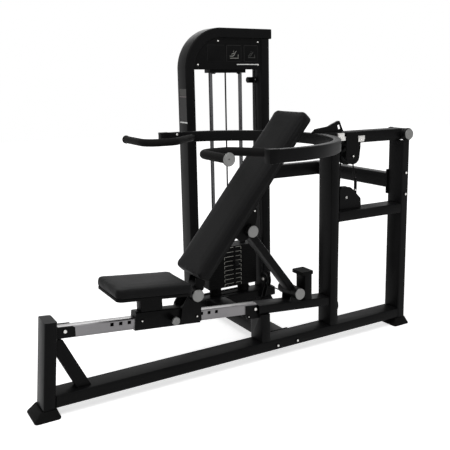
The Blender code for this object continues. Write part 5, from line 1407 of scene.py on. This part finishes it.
@dataclass
class Studio:
    """Camera, floor and soft light."""

    lens: float = 53.608
    shift: tuple[float, float] = (-0.0822, -0.0367)
    eye: Place = (0.0, -2.94125, 1.470)
    yaw: float = math.radians(32.44)
    pitch: float = math.radians(11.08)
    roll: float = math.radians(0.55)
    near_floor: float = 2.0
    far_floor: float = 4.5
    near_glow: float = 0.68
    far_glow: float = 1.0
    floor_half: float = 14.0
    floor_grey: float = 0.93
    soft_light: float = 0.24
    lamps: tuple[tuple[str, Place, float, float], ...] = (
        ("key_light", (-0.8, -1.4, 3.9), 3.0, 95.0), ("fill_light", (-3.2, -3.0, 1.6), 3.0, 2.5),
        ("back_light", (1.4, 2.8, 3.0), 2.4, 24.0),
    )

    def build(self) -> None:
        """Sets up the camera, floor, world and lamps."""
        self.camera()
        self.floor()
        self.world()
        for name, place, size, power in self.lamps:
            self.lamp(name, place, size, power)
        bpy.context.scene.view_settings.view_transform = "Standard"

    def camera(self) -> None:
        """Camera at the viewing angle of the reference."""
        data = bpy.data.cameras.new("camera")
        data.lens, data.sensor_width = self.lens, 36.0
        data.shift_x, data.shift_y = self.shift
        data.clip_start, data.clip_end = 0.05, 60.0
        camera = bpy.data.objects.new("camera", data)
        bpy.context.scene.collection.objects.link(camera)
        cp, sp = math.cos(self.pitch), math.sin(self.pitch)
        forward = Vector((math.sin(self.yaw) * cp, math.cos(self.yaw) * cp, -sp))
        right = forward.cross(Z_AXIS).normalized()
        down = forward.cross(right)
        cr, sr = math.cos(self.roll), math.sin(self.roll)
        across, low = right * cr + down * sr, down * cr - right * sr
        turn = Matrix((across, -low, -forward)).transposed().to_4x4()
        camera.matrix_world = Matrix.Translation(at(*self.eye)) @ turn
        bpy.context.scene.camera = camera

    def floor(self) -> None:
        """Pale floor that keeps the shadow and looks white to the camera."""
        bm = bmesh.new()
        bmesh.ops.create_grid(bm, x_segments=1, y_segments=1, size=self.floor_half)
        mesh = bpy.data.meshes.new("floor")
        bm.to_mesh(mesh)
        bm.free()
        floor = bpy.data.objects.new("floor", mesh)
        bpy.context.scene.collection.objects.link(floor)
        material = bpy.data.materials.new("pale_floor")
        material.use_nodes = True
        graph = Graph(material)
        shader = graph.shader
        shader.inputs["Base Color"].default_value = (*[self.floor_grey] * 3, 1)
        shader.inputs["Roughness"].default_value = 0.9
        shader.inputs["Specular IOR Level"].default_value = 0.1
        place = graph.node("ShaderNodeTexCoord").outputs["Object"]
        reach = graph.node("ShaderNodeVectorMath")
        reach.operation = "LENGTH"
        graph.link(place, reach.inputs[0])
        fade = graph.spread(reach.outputs["Value"], self.near_floor, self.far_floor, self.near_glow,
                            self.far_glow)
        glow = graph.math("MULTIPLY", self.seen(graph.tree), fade)
        shader.inputs["Emission Color"].default_value = (1, 1, 1, 1)
        graph.link(glow, shader.inputs["Emission Strength"])
        mesh.materials.append(material)

    @staticmethod
    def seen(tree: bpy.types.NodeTree) -> Socket:
        """One for rays from the camera, and for those that a gloss or glass sends on, else zero."""
        rays = tree.nodes.new("ShaderNodeLightPath")
        total = rays.outputs["Is Camera Ray"]
        for kind in ("Is Glossy Ray", "Is Transmission Ray"):
            both = tree.nodes.new("ShaderNodeMath")
            both.operation, both.use_clamp = "ADD", True
            tree.links.new(total, both.inputs[0])
            tree.links.new(rays.outputs[kind], both.inputs[1])
            total = both.outputs[0]
        return total

    def world(self) -> None:
        """White to the camera and to reflections, a soft grey as light."""
        world = bpy.data.worlds.new("studio")
        bpy.context.scene.world = world
        world.use_nodes = True
        tree = world.node_tree
        tree.nodes.clear()
        out = tree.nodes.new("ShaderNodeOutputWorld")
        light, white, mix = (tree.nodes.new(k) for k in ("ShaderNodeBackground", "ShaderNodeBackground",
                                                         "ShaderNodeMixShader"))
        light.inputs["Color"].default_value = (1, 1, 1, 1)
        light.inputs["Strength"].default_value = self.soft_light
        white.inputs["Color"].default_value = (1, 1, 1, 1)
        white.inputs["Strength"].default_value = 1.0
        tree.links.new(self.seen(tree), mix.inputs[0])
        tree.links.new(light.outputs[0], mix.inputs[1])
        tree.links.new(white.outputs[0], mix.inputs[2])
        tree.links.new(mix.outputs[0], out.inputs["Surface"])

    def lamp(self, name: str, place: Place, size: float, power: float) -> None:
        """Square soft lamp aimed at the machine's middle.

        Args:
            name: lamp name.
            place: where it hangs, in the row frame.
            size: side of the lamp.
            power: its power in watts.
        """
        data = bpy.data.lights.new(name, "AREA")
        data.shape, data.size, data.energy = "SQUARE", size, power
        lamp = bpy.data.objects.new(name, data)
        bpy.context.scene.collection.objects.link(lamp)
        aim = Vector((0, 0, 0.7)) - Vector(place)
        lamp.matrix_world = Matrix.Translation(place) @ aim.to_track_quat("-Z", "Y").to_matrix().to_4x4()


def clear_start() -> None:
    """Removes the start file's cube, lamp and camera."""
    for name in ("Cube", "Light", "Camera"):
        thing = bpy.data.objects.get(name)
        if thing is not None and "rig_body" not in thing.keys():
            bpy.data.objects.remove(thing)


def main() -> None:
    """Builds the sub-assemblies in order."""
    logging.basicConfig(level=logging.INFO, format="%(name)s: %(message)s")
    clear_start()
    Studio().build()
    for part in (LongFrame(), Pivots(), Tower(), Stack(), CableRun(), PressArm(), SeatCarriage(), Backrest()):
        part.build()
        LOG.info("built %s", type(part).__name__)


if __name__ == "__main__":
    main()
